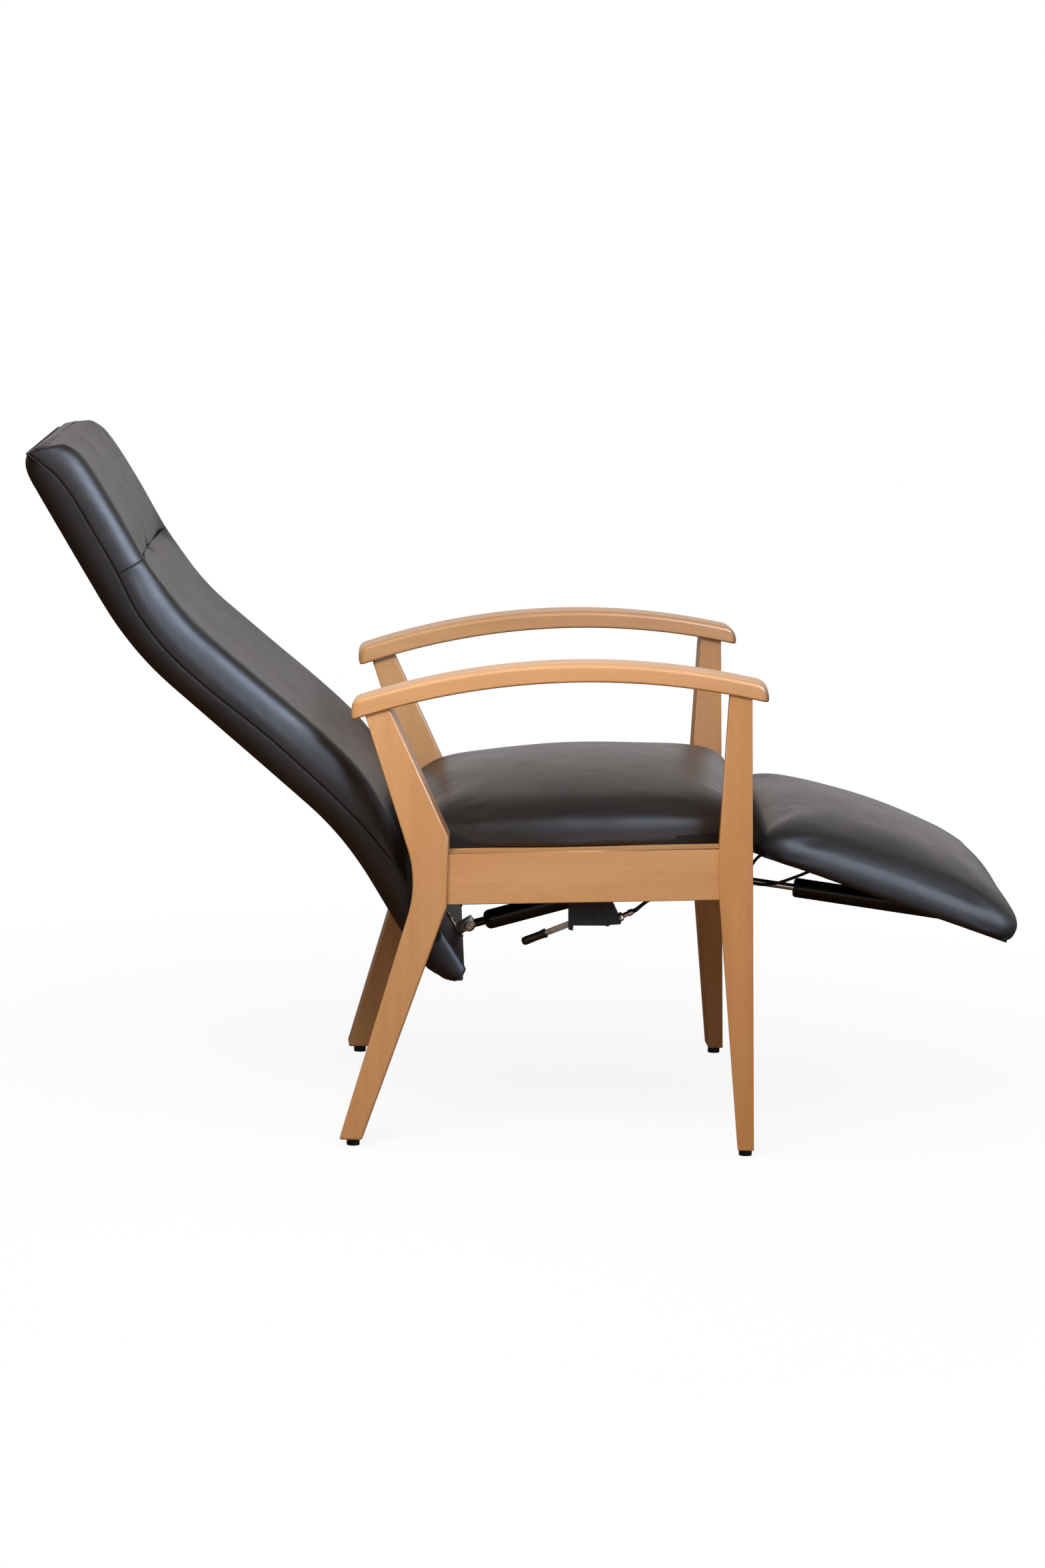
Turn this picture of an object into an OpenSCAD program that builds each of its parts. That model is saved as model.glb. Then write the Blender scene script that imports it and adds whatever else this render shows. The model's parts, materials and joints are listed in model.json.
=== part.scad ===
// Reclining lounge chair: two splayed wooden side frames with bentwood arms,
// a padded back board and a padded footrest, each hinged to the seat frame and
// held by a lockable gas spring. Millimetres; +X towards the footrest, +Z up.

/* [Side frames] */
// Width over the legs at the rear feet
rear_width = 622; // [590:1:660]
// Angle at which each side frame opens towards the front
splay = 2.92; // [2:0.02:3.6]
// Thickness of the legs
leg_thick = 46; // [42:1:48]
// Height of the glides under the feet
glide_h = 11; // [6:1:16]
// Diameter of the glides
glide_d = 18; // [14:1:21]
// Length of the rear foot along the side frame
rear_foot_len = 31; // [26:1:36]
// Rear edge of the rear leg at its knee
rear_knee_x = 102; // [96:1:106]
// Height of the knee
rear_knee_z = 370; // [360:1:380]
// Radius in the hollow of the knee
rear_knee_r = 160; // [100:5:200]
// Backward lean of the rear edge above the knee
rear_lean = 18.35; // [16:0.05:20]
// Straight front face of the rear leg, where the seat rail meets it
rear_face_x = 142; // [136:1:148]
// Bottom of that straight face
rear_face_bottom = 338; // [332:1:342]
// Top of that straight face
rear_face_top = 433; // [426:1:440]
// Backward lean of the front edge above that face
rear_front_lean = 25.35; // [23:0.05:27]
// How far the armrest reaches past the rear edge of the front foot
arm_reach = 24.5; // [18:0.5:30]
// Length of the front foot
front_foot_len = 22; // [18:1:28]
// Width of the front leg at the seat rail
front_leg_w = 45.5; // [40:0.5:52]
// Width of the front leg under the arm
front_head_w = 29; // [25:1:36]
// Rearward lean of the front edge of the front leg
front_lean = 1.83; // [1:0.01:2.6]

/* [Arms] */
// Length of the armrest
arm_len = 559; // [545:1:575]
// Rear end of the armrest
arm_x = 8.5; // [4:0.5:14]
// Width of the armrest
arm_w = 60; // [52:1:64]
// How far the armrest stands out past the legs
arm_overhang = 4.5; // [0:0.5:8]
// Height of the top of the arch on its underside
arm_under_z = 648; // [636:1:660]
// Thickness at the top of the arch
arm_thick = 25; // [20:1:30]
// Radius of the underside
arm_under_r = 1029; // [950:1:1150]
// Radius of the top
arm_top_r = 1012; // [940:1:1140]
// Place of the highest point of the underside
arm_under_x = 354; // [345:1:362]
// Place of the highest point of the top
arm_top_x = 347; // [338:1:356]
// Radius of the front nose
arm_front_nose = 20; // [12:1:23]
// Radius of the rear nose
arm_rear_nose = 13; // [8:1:20]
// Corner radius of the arm in plan
arm_corner = 10; // [4:1:16]

/* [Seat frame] */
// Height of the seat rails at the rear legs
seat_z = 409.5; // [404:0.5:416]
// Upward tilt of the seat towards the front
seat_tilt = 2.5; // [1:0.1:4]
// Height of the rails
rail_h = 71; // [62:1:76]
// Thickness of the side rails
rail_thick = 26; // [20:1:30]
// How far the side rails lie inside the outer face of the legs
rail_inset = 9; // [5:1:14]
// Thickness of the rear cross rail
rear_rail_thick = 24; // [20:1:30]
// Thickness of the front cross rail
front_rail_thick = 27; // [22:1:30]
// Distance of the front cross rail's face behind the rear edge of the front foot
front_rail_back = 5; // [2:0.5:8]
// Thickness of the seat board
seat_board_thick = 12; // [9:1:15]
// Gap between the seat board and the legs
seat_board_gap = 1; // [0.5:0.5:3]
// Width of the cleats inside the side rails that carry the seat
cleat_w = 20; // [14:1:24]
// Height of those cleats
cleat_h = 22; // [16:1:28]
// Front edge of the seat board, past the front cross rail
seat_board_over = 3; // [0:1:6]
// Thickness of the beam under the seat that carries the rear gas spring
beam_thick = 30; // [24:1:36]

/* [Seat cushion] */
// Height of the crown over the rails
seat_crown = 83; // [70:1:100]
// Rear face of the cushion along the seat
seat_rear_a = -43; // [-44:1:-40]
// How far the cushion stands out past the front cross rail
seat_front_over = 20; // [14:0.5:21]
// Distance of the cushion's rear corners inside the rear feet
seat_rear_in = 49; // [47:1:55]
// Distance of its widest place inside the rear feet
seat_mid_in = 19; // [18:1:27]
// Distance of its front corners inside the rear feet
seat_front_in = 26; // [24:1:35]
// Corner radius of the cushion in plan
seat_corner = 38; // [24:1:50]

/* [Back] */
// Bottom edge of the board, in front of the hinge axis
back_start_x = 70; // [66:1:72]
// Bottom edge of the board, below the hinge axis
back_start_z = 157; // [152:1:160]
// Length of the bare lower part of the board
lower_len = 177; // [170:1:184]
// Steepness of the lower part
lower_angle = 57.2; // [55:0.2:59]
// Length of the lumbar bend
lumbar_len = 150; // [120:1:170]
// Steepness of the middle part
middle_angle = 40.5; // [38:0.5:43]
// Length of the middle part
middle_len = 240; // [220:1:260]
// Length of the neck bend
neck_len = 139; // [110:1:160]
// Steepness of the head part
head_angle = 60; // [56:0.5:64]
// Length of the head part
head_len = 185; // [170:1:200]
// Length of the bend at the top edge
crest_len = 29; // [20:1:32]
// Steepness at the top edge
crest_angle = 75; // [68:1:78]
// Distance of the head cushion's seam from the neck bend
head_seam = 21; // [14:1:30]
// Thickness of the board
board_thick = 14; // [12:1:18]
// How far the board lies inside the cover on each side
board_in = 13.7; // [13.7:0.1:20]
// How far the board ends below the top edge of the cover
board_top_gap = 8; // [5:1:14]
// Distance of the cover inside the rear feet on each side
cover_in = 65.3; // [65.2:0.1:66]
// How far the front cushions lie inside the cover
back_in = 0.7; // [0.7:0.1:5]
// Thickness of the front cushion at the lumbar ridge
lumbar_thick = 46; // [38:1:50]
// Thickness of the head cushion at its ridge
head_thick = 39.5; // [30:0.5:42]
// Depth of the rear cover behind the front face of the board
rear_thick = 41; // [36:1:46]
// Height of the rolled edge beside the bare part of the board
edge_roll = 5.5; // [3:0.5:7]

/* [Footrest] */
// Downward slope of the footrest
footrest_slope = 18.9; // [16:0.1:22]
// Length of the footrest
footrest_len = 377; // [360:1:386]
// Distance of the footrest's sides inside the rear feet
footrest_in = 43; // [39:1:53]
// Height of its crown over the underside
footrest_crown = 85; // [72:1:96]
// Thickness of the footrest board
footrest_board_thick = 12; // [9:1:15]
// Distance of the footrest board from the edge of the cover
footrest_board_gap = 12; // [9:1:16]
// Corner radius of the footrest in plan
footrest_corner = 34; // [24:1:48]

/* [Hinges] */
// Distance of the back's hinge axis behind the rear cross rail
back_hinge_off = 19; // [18:0.5:20]
// Depth of the back's hinge axis below the seat plane
back_hinge_drop = 19.5; // [18:0.5:21]
// Clearance between the cover and the back's hinge plates
back_plate_gap = 0.3; // [0.3:0.1:0.8]
// Distance of the footrest's hinge axis in front of the front cross rail
footrest_hinge_off = 10; // [9.8:0.1:11]
// Depth of the footrest's hinge axis below the seat plane
footrest_hinge_drop = 40; // [38:0.5:42]
// Distance of the footrest's hinge axis below the underside of the footrest
footrest_hinge_n = 22.6; // [22:0.1:24]
// Distance of the footrest's hinge axis behind the rear edge of the footrest
footrest_hinge_a = 7.5; // [6.5:0.1:8.5]
// Distance of the footrest's moving hinge plates inside its sides
footrest_plate_in = 42; // [32:1:68]
// Thickness of the hinge plates
plate_thick = 4; // [3:0.5:4.5]
// Gap between a moving and a fixed hinge plate
plate_gap = 1; // [0.5:0.1:1.5]
// Radius of the hinge plates round the axis
plate_r = 13; // [10:0.5:14]
// Lower end of the back's hinge plates along the board
hinge_low_s = 68; // [60:1:76]
// Upper end of their straight part along the board
hinge_high_s = 116; // [108:1:120]
// Radius of their ends
plate_end_r = 10; // [8:0.5:11]
// Radius of the footrest's hinge plates round the axis
rest_plate_r = 9; // [8:0.5:10]
// Radius of the hinge bolts
hinge_pin_r = 4; // [3:0.25:4.25]

/* [Gas springs] */
// Radius of the pressure tubes
tube_r = 14; // [12:0.5:14]
// Wall of the pressure tubes
tube_wall = 2; // [1.5:0.25:3]
// Length of the rear pressure tube
rear_tube_len = 185; // [180:1:190]
// Length of the front pressure tube
front_tube_len = 231; // [226:1:236]
// Radius of the piston rods
rod_r = 5; // [4:0.5:5.5]
// Distance from an eye's axis to its tube
eye_reach = 23; // [20:0.5:25]
// Radius of the eyes
eye_r = 9; // [8:0.5:10]
// Width of the eyes and of the release heads
eye_w = 12; // [10:0.5:14]
// Radius of the spring pins
spring_pin_r = 4; // [3:0.5:4.5]
// Length of the release heads from their axis
head_reach = 34; // [30:1:36]
// Radius of the release heads
head_r = 9.5; // [8.5:0.5:10.5]
// Place of the rear spring's pin along the board
rear_eye_s = 13.3; // [12:0.1:16]
// Height of the rear spring's pin over the board
rear_eye_n = 18; // [16:0.5:20]
// Place of the rear spring's head along the seat
rear_head_a = 284; // [280:1:288]
// Distance of the front spring's head behind the front cross rail's face
front_head_back = 12; // [10:0.5:13]
// Depth of both release heads below the rails
head_drop = 26.7; // [25:0.1:28]
// Place of the front spring's eye along the footrest
front_eye_a = 350; // [344:1:352]
// Depth of the front spring's eye below the footrest
front_eye_n = 14.2; // [14:0.1:16]
// Play of the open pivot of the rear spring
rear_slot = 5.4; // [5.2:0.1:6.5]
// Play of the open pivot of the front spring
front_slot = 10.8; // [10.6:0.1:12]
// Thickness of the spring brackets
bracket_thick = 3; // [2.5:0.25:3.5]
// Radius of the bracket cheeks round their pins
cheek_r = 11; // [10:0.5:12]

/* [Release lever] */
// Place of the lever's axis along the side frame
lever_x = 344; // [338:1:350]
// Height of the lever's axis
lever_z = 325.2; // [322:0.2:327]
// Length of the lever bar from its axis to the grip
lever_bar = 74; // [66:1:84]
// Downward slope of the bar
lever_slope = 22.8; // [20:0.1:26]
// Height of the bar
lever_bar_h = 8; // [6:0.5:9]
// Thickness of the bar
lever_bar_thick = 5; // [4:0.5:6]
// Length of the grip
grip_len = 36; // [28:1:44]
// Radius of the grip
grip_r = 5.5; // [5.2:0.1:7]
// Length of the housing
housing_len = 73; // [68:1:78]
// Height of the housing
housing_h = 49.5; // [46:0.5:53]
// Depth of the housing inwards from the rail
housing_w = 26; // [24:1:30]
// Radius of the release cables
cable_r = 2.25; // [2:0.05:2.4]

/* [Hidden] */
$fn = 64;
overrun = 2;
fit_gap = 0.05;
side_gap = 0.5;
slot_gap = 0.45;
wide_slot_gap = 0.85;
front_slot_skew = 12.5;
clip_gap = 0.3;
arc_fn = 360;
arm_steps = 24;
nose_steps = 7;
board_steps = [4, 6, 4, 6, 4, 2];
// Further stations near the ends of the cushions, as shares of the whole length
end_stations = [0.0014, 0.0066, 0.0154, 0.0264, 0.0352, 0.066, 0.163, 0.179, 0.187, 0.199, 0.212, 0.234, 0.262,
    0.777, 0.786, 0.795, 0.807, 0.825, 0.978, 0.9905, 0.997];
wood = [0.84, 0.63, 0.40];
wood_top = [0.86, 0.70, 0.50];
ply = [0.30, 0.22, 0.17];
leather = [0.20, 0.16, 0.15];
leather_back = [0.17, 0.13, 0.12];
leather_head = [0.24, 0.19, 0.18];
steel = [0.62, 0.64, 0.66];
dark_steel = [0.16, 0.16, 0.17];
plastic = [0.07, 0.07, 0.08];
chrome = [0.80, 0.81, 0.83];

// Places that follow from the sizes
front_foot_x = arm_x + arm_len - arm_reach;
front_rail_a = front_foot_x - rear_face_x - front_rail_back;
seat_front_a = front_rail_a + seat_front_over;
front_head_a = front_rail_a - front_head_back;
seat_rear_half = rear_width / 2 - seat_rear_in;
seat_mid_half = rear_width / 2 - seat_mid_in;
seat_front_half = rear_width / 2 - seat_front_in;
cover_half = rear_width / 2 - cover_in;
back_half = cover_half - back_in;
board_half = cover_half - board_in;
back_plate_y = cover_half + back_plate_gap;
footrest_half = rear_width / 2 - footrest_in;
footrest_plate_y = footrest_half - footrest_plate_in;

// Points of the side view
function seat_point(a, h) = [rear_face_x + a * cos(seat_tilt) - h * sin(seat_tilt),
    seat_z + a * sin(seat_tilt) + h * cos(seat_tilt)];
function footrest_point(a, n) = footrest_start + [a * cos(footrest_slope) + n * sin(footrest_slope),
    n * cos(footrest_slope) - a * sin(footrest_slope)];
rear_rail_a = -rear_rail_thick - overrun;
back_hinge = seat_point(rear_rail_a - back_hinge_off, -back_hinge_drop);
footrest_hinge = seat_point(front_rail_a + footrest_hinge_off, -footrest_hinge_drop);
footrest_start = footrest_hinge + [footrest_hinge_n * sin(footrest_slope) + footrest_hinge_a * cos(footrest_slope),
    footrest_hinge_n * cos(footrest_slope) - footrest_hinge_a * sin(footrest_slope)];
rear_head = seat_point(rear_head_a, -rail_h - head_drop);
front_head = seat_point(front_head_a, -rail_h - head_drop);
front_eye = footrest_point(front_eye_a, -front_eye_n);
back_start = back_hinge + [back_start_x, -back_start_z];

// The front face of the back board is a chain of straights and bends
spine_parts = [[lower_len, lower_angle, lower_angle], [lumbar_len, lower_angle, middle_angle],
    [middle_len, middle_angle, middle_angle], [neck_len, middle_angle, head_angle],
    [head_len, head_angle, head_angle], [crest_len, head_angle, crest_angle]];
function part_start(i) = i == 0 ? 0 : part_start(i - 1) + spine_parts[i - 1][0];
back_len = part_start(len(spine_parts));
cushion_s = part_start(1);
seam_s = part_start(4) + head_seam;
function part_angle(p, s) = p[1] + (p[2] - p[1]) * s / p[0];
function part_point(o, p, s) = p[1] == p[2] ? o + s * [-cos(p[1]), sin(p[1])]
    : let (r = p[0] / ((p[2] - p[1]) * PI / 180), a = part_angle(p, s))
        o - r * [sin(a) - sin(p[1]), cos(a) - cos(p[1])];
function spine(s, i = 0, o = back_start) = s <= spine_parts[i][0] || i == len(spine_parts) - 1
    ? part_point(o, spine_parts[i], s)
    : spine(s - spine_parts[i][0], i + 1, part_point(o, spine_parts[i], spine_parts[i][0]));
function spine_angle(s, i = 0) = s <= spine_parts[i][0] || i == len(spine_parts) - 1
    ? part_angle(spine_parts[i], s) : spine_angle(s - spine_parts[i][0], i + 1);
function back_point(s, n) = spine(s) + n * [sin(spine_angle(s)), cos(spine_angle(s))];
board_stations = [for (i = [0 : len(spine_parts) - 1]) for (k = [0 : board_steps[i] - 1])
    part_start(i) + spine_parts[i][0] * k / board_steps[i]];
board_end = back_len - board_top_gap;
// The board, the cushions and the cover share their stations, so that they meet face to face
function stations(s0, s1) = concat([s0], [for (s = all_stations) if (s > max(s0, 0) && s < s1) s], [s1]);
function sorted(v) = len(v) < 2 ? v : let (m = v[floor(len(v) / 2)])
    concat(sorted([for (x = v) if (x < m) x]), [m], sorted([for (x = v) if (x > m) x]));
all_stations = sorted(concat(board_stations, [for (f = end_stations) f * back_len], [cushion_s, seam_s, board_end]));
rear_eye = back_point(rear_eye_s, rear_eye_n);

// Gas springs: angle and length at rest
function span(p, q) = norm(q - p);
function lean(p, q) = atan2(q[1] - p[1], q[0] - p[0]);
rear_angle = lean(rear_eye, rear_head);
rear_span = span(rear_eye, rear_head);
front_angle = lean(front_head, front_eye);
front_span = span(front_head, front_eye);
piston_w = 10;
piston_r = tube_r - tube_wall - fit_gap;
tube_end = 8;
guide_len = 12;
socket_depth = 20;
rear_piston_x = 108;
front_piston_x = front_span - eye_reach - front_tube_len + guide_len + overrun;

// Cushion profiles: share of the way out from the middle, share of the crown
seat_profile_shares = [[0.98, 0], [0.992, 0.09], [1, 0.2], [1, 0.34], [0.988, 0.45], [0.955, 0.55],
    [0.88, 0.67], [0.76, 0.78], [0.6, 0.88], [0.4, 0.95], [0.2, 0.99]];
footrest_profile_shares = [[0.98, 0], [0.993, 0.06], [1, 0.16], [1, 0.30], [0.985, 0.41], [0.953, 0.51],
    [0.89, 0.62], [0.79, 0.74], [0.6, 0.89], [0.36, 0.96], [0.16, 0.995]];
// Width of the seat cushion along its length
seat_width_shares = [[0, 0], [0.09, 0.12], [0.2, 0.55], [0.38, 0.92], [0.6, 1]];
// Thickness of the back's cushions along their length
back_profile_shares = [[0, 0.08], [0.011, 0.24], [0.033, 0.38], [0.07, 0.53], [0.115, 0.67], [0.196, 0.88],
    [0.305, 0.99], [0.424, 1], [0.542, 0.96], [0.715, 0.95], [0.85, 0.915], [0.942, 0.885], [0.978, 0.875], [0.993, 0.84], [1, 0.74]];
head_profile_shares = [[0, 0.84], [0.027, 0.93], [0.08, 0.97], [0.165, 0.985], [0.4, 0.97], [0.68, 0.91],
    [0.82, 0.84], [0.9, 0.74], [0.95, 0.58], [0.984, 0.34], [1, 0.12]];
rear_profile_shares = [[-0.0066, 0.3], [-0.0033, 0.48], [0.0014, 0.6], [0.0066, 0.7], [0.0154, 0.8], [0.0264, 0.95],
    [0.0352, 1.04], [0.066, 1.07], [0.107, 1.09], [0.195, 1.05], [0.33, 1], [0.7, 1], [0.85, 1.04], [0.955, 1.06], [0.978, 1.05], [0.9905, 0.97], [0.997, 0.84], [1, 0.66]];
rear_lip_shares = [[-0.0066, -0.125], [-0.0033, -0.04], [0.0014, 0], [1, 0]];
roll_shares = [[0, 0], [0.035, 0.9], [0.85, 1], [0.93, 0.7], [0.97, 0], [1, 0]];
// Cross-section of the front cushions: share of the half width, share of the thickness
front_section_shares = [[0.985, 0], [1, 0.18], [1, 0.5], [0.993, 0.72], [0.975, 0.88], [0.95, 0.97],
    [0.91, 1], [0.80, 0.96], [0.56, 0.83], [0.28, 0.73]];
front_centre_share = 0.70;
// Cross-section of the rear cover: share of the half width, of the depth and of the rolled edge
rear_section_shares = [[0.952, 0, 0], [0.96, 0, 0.8], [0.974, 0, 1], [0.99, 0, 0.7], [1, 0.06, 0], [1, 0.6, 0],
    [0.993, 0.79, 0], [0.972, 0.92, 0], [0.935, 0.99, 0], [0.75, 1.01, 0], [0.38, 1.025, 0]];
rear_centre_share = 1.03;
// Outline of the lever housing: shares of its length and height
housing_shares = [[0, 1], [0.018, 0.028], [0.105, 0], [0.112, 0.143], [0.702, 0.162], [0.754, 0.145],
    [0.806, 0.188], [0.978, 0.208], [1, 0.248], [0.75, 1]];
housing_x = lever_x - 0.545 * housing_len;
housing_z = lever_z - 0.4586 * housing_h;
side_steps = 7;
end_steps = 7;
corner_steps = 5;

// Plan outline of a cushion in shares of its half sizes, with round corners
function corner_arc(cx, cy, rx, ry, a0) = [for (k = [0 : corner_steps]) let (a = a0 + 90 * k / corner_steps)
    [cx + rx * cos(a), cy + ry * sin(a)]];
function plan_loop(rx, ry) = concat(
    corner_arc(1 - rx, 1 - ry, rx, ry, 0),
    [for (k = [1 : end_steps - 1]) [(1 - rx) * (1 - 2 * k / end_steps), 1]],
    corner_arc(rx - 1, 1 - ry, rx, ry, 90),
    [for (k = [1 : side_steps - 1]) [-1, (1 - ry) * (1 - 2 * k / side_steps)]],
    corner_arc(rx - 1, ry - 1, rx, ry, 180),
    [for (k = [1 : end_steps - 1]) [(rx - 1) * (1 - 2 * k / end_steps), -1]],
    corner_arc(1 - rx, ry - 1, rx, ry, 270),
    [for (k = [1 : side_steps - 1]) [1, (ry - 1) * (1 - 2 * k / side_steps)]]);
function seat_half(f) = f < 0.6 ? seat_rear_half + (seat_mid_half - seat_rear_half) * lookup(f, seat_width_shares)
    : seat_mid_half + (seat_front_half - seat_mid_half) * (f - 0.6) / 0.4;
// A cushion built from rings that climb from its flat underside to its crown and turn from the plan outline into ellipses
function eased(p, r) = let (b = min(1, 2.2 * (1 - r))) r * ((1 - b) * p + b * p / norm(p));
module pillow(loop, half_x, mid_x, crown, profile, widths) {
    m = len(loop);
    rings = [for (r = profile) for (p = loop) let (q = eased(p, r[0]))
        [mid_x + q[0] * half_x, q[1] * (widths ? seat_half((p[0] + 1) / 2) : footrest_half), r[1] * crown]];
    points = concat(rings, [[mid_x, 0, crown], [mid_x, 0, 0]]);
    n = len(profile);
    polyhedron(points, concat(
        [for (i = [0 : n - 2]) for (j = [0 : m - 1]) let (k = (j + 1) % m)
            each [[i * m + j, (i + 1) * m + k, i * m + k], [i * m + j, (i + 1) * m + j, (i + 1) * m + k]]],
        [for (j = [0 : m - 1]) [n * m, (n - 1) * m + (j + 1) % m, (n - 1) * m + j]],
        [for (j = [0 : m - 1]) [n * m + 1, j, (j + 1) % m]]));
}

// A solid carried along the back from one closed section to the next
module back_loft(list, sections) {
    m = len(sections[0]);
    n = len(list);
    points = [for (i = [0 : n - 1]) for (q = sections[i]) let (p = back_point(list[i], q[1])) [p[0], q[0], p[1]]];
    ends = [for (i = [0, n - 1]) let (c = section_middle(sections[i]), p = back_point(list[i], c[1])) [p[0], c[0], p[1]]];
    polyhedron(concat(points, ends), concat(
        [for (i = [0 : n - 2]) for (j = [0 : m - 1]) let (k = (j + 1) % m)
            each [[i * m + j, i * m + k, (i + 1) * m + k], [i * m + j, (i + 1) * m + k, (i + 1) * m + j]]],
        [for (j = [0 : m - 1]) [n * m, (j + 1) % m, j]],
        [for (j = [0 : m - 1]) [n * m + 1, (n - 1) * m + j, (n - 1) * m + (j + 1) % m]]));
}
function section_middle(q) = [0, (max([for (p = q) p[1]]) + min([for (p = q) p[1]])) / 2];
function mirrored(v, centre) = concat(v, [centre], [for (i = [len(v) - 1 : -1 : 0]) [-v[i][0], v[i][1]]]);
function front_section(half, thick) = mirrored([for (p = front_section_shares) [p[0] * half, p[1] * thick]],
    [0, front_centre_share * thick]);
function rear_section(s) = let (f = s / back_len, depth = rear_thick * lookup(f, rear_profile_shares),
        lip = rear_thick * lookup(f, rear_lip_shares), roll = s > 0 ? edge_roll * lookup(s / lower_len, roll_shares) : 0)
    mirrored([for (p = rear_section_shares) [-p[0] * cover_half, min(lip, -p[1] * depth) + p[2] * roll]],
        [0, -rear_centre_share * depth]);

back_stations = stations(cushion_s, seam_s);
head_stations = stations(seam_s, back_len);
rear_stations = concat([for (p = rear_lip_shares) if (p[0] < 0) p[0] * back_len], stations(rear_lip_shares[2][0] * back_len, back_len));
function back_sections() = [for (s = back_stations)
    front_section(back_half, lumbar_thick * lookup((s - cushion_s) / (seam_s - cushion_s), back_profile_shares))];
function head_sections() = [for (s = head_stations)
    front_section(back_half, head_thick * lookup((s - seam_s) / (back_len - seam_s), head_profile_shares))];

// The origin lies under the middle of the whole length
rear_reach = min([for (s = rear_stations) if (s > part_start(3)) for (q = rear_section(s)) back_point(s, q[1])[0]]);
front_reach = max([for (p = footrest_profile_shares)
    footrest_point(footrest_len / 2 + p[0] * footrest_len / 2, p[1] * footrest_crown)[0]]);
origin_x = (rear_reach + front_reach) / 2;
module place() translate([-origin_x, 0, 0]) children();

// Frames of reference
module right_side() place() translate([0, -rear_width / 2, 0]) rotate([0, 0, -splay]) children();
module left_side() mirror([0, 1, 0]) right_side() children();
module slab(t0, t1) translate([0, t1, 0]) rotate([90, 0, 0]) linear_extrude(t1 - t0) children();
module seat_plane() place() translate([rear_face_x, 0, seat_z]) rotate([0, -seat_tilt, 0]) children();
module footrest_plane() place() translate([footrest_start[0], 0, footrest_start[1]]) rotate([0, footrest_slope, 0]) children();
module axis_frame(p, a) place() translate([p[0], 0, p[1]]) rotate([0, -a, 0]) children();
module across(y0, y1) translate([0, y1, 0]) rotate([90, 0, 0]) linear_extrude(y1 - y0) children();
module both() { children(); mirror([0, 1, 0]) children(); }
function side_y(x, t) = rear_width / 2 + x * tan(splay) - t / cos(splay);
// The room between the side frames at a given depth
module between(t) place() linear_extrude(arm_under_z)
    polygon([[-arm_len, -side_y(-arm_len, t)], [2 * arm_len, -side_y(2 * arm_len, t)],
        [2 * arm_len, side_y(2 * arm_len, t)], [-arm_len, side_y(-arm_len, t)]]);

// Two discs joined by their common tangents
module link(p, rp, q, rq) {
    d = norm(q - p);
    base = atan2(q[1] - p[1], q[0] - p[0]);
    phi = acos((rp - rq) / d);
    translate(p) circle(rp);
    translate(q) circle(rq);
    polygon([p + rp * [cos(base + phi), sin(base + phi)], p + rp * [cos(base - phi), sin(base - phi)],
        q + rq * [cos(base - phi), sin(base - phi)], q + rq * [cos(base + phi), sin(base + phi)]]);
}
module rod_y(r, y0, y1, sides = 64) translate([0, y1, 0]) rotate([90, 0, 0]) cylinder(r = r, h = y1 - y0, $fn = sides);
module rod_x(r, x0, x1) translate([x0, 0, 0]) rotate([0, 90, 0]) cylinder(r = r, h = x1 - x0);

// Side frames
rear_top_x = rear_knee_x - (arm_under_z - rear_knee_z) * tan(rear_lean);
rear_top_front = rear_face_x - (arm_under_z - rear_face_top) * tan(rear_front_lean);
lower_heading = atan2(rear_knee_z - glide_h, rear_knee_x);
knee_turn = 90 + rear_lean - lower_heading;
knee_tangent = rear_knee_r * tan(knee_turn / 2);
knee = [rear_knee_x, rear_knee_z];
knee_low = knee - knee_tangent * [cos(lower_heading), sin(lower_heading)];
knee_high = knee + knee_tangent * [-sin(rear_lean), cos(rear_lean)];
knee_centre = knee_low + rear_knee_r * [-sin(lower_heading), cos(lower_heading)];
function under_z(x) = arm_under_z - arm_under_r + sqrt(pow(arm_under_r, 2) - pow(x - arm_under_x, 2));
arm_end = arm_x + arm_len;
under_line = [for (i = [0 : arm_steps]) let (x = arm_x + arm_len * i / arm_steps) [x, under_z(x)]];
module under_arm() intersection() {
    children();
    polygon(concat([[-arm_w, 0], [-arm_w, under_z(arm_x)]], under_line, [[arm_end + arm_w, under_z(arm_end)], [arm_end + arm_w, 0]]));
}
module rear_leg_outline() under_arm() {
    polygon([[0, glide_h], [rear_foot_len, glide_h], [rear_face_x, rear_face_bottom], [rear_face_x, rear_face_top],
        [rear_top_front, arm_under_z], [rear_top_x, arm_under_z], knee]);
    difference() {
        polygon([knee_low, knee, knee_high]);
        translate(knee_centre) circle(rear_knee_r, $fn = arc_fn);
    }
}
front_edge_foot = front_foot_x + front_foot_len;
function front_edge(z) = front_edge_foot - (z - glide_h) * tan(front_lean);
front_rail_low = seat_z - rail_h + (front_foot_x - rear_face_x) * tan(seat_tilt);
front_rail_high = seat_z + (front_foot_x - rear_face_x) * tan(seat_tilt);
module front_leg_outline() under_arm() polygon([[front_foot_x, glide_h], [front_edge_foot, glide_h],
    [front_edge(arm_under_z), arm_under_z], [front_edge(arm_under_z) - front_head_w, arm_under_z],
    [front_edge(front_rail_high) - front_leg_w, front_rail_high], [front_edge(front_rail_low) - front_leg_w, front_rail_low]]);
module rear_leg() color(wood) slab(0, leg_thick) rear_leg_outline();
module front_leg() color(wood) slab(0, leg_thick) front_leg_outline();
module rear_leg_right() right_side() rear_leg();
module rear_leg_left() left_side() rear_leg();
module front_leg_right() right_side() front_leg();
module front_leg_left() left_side() front_leg();

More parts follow.
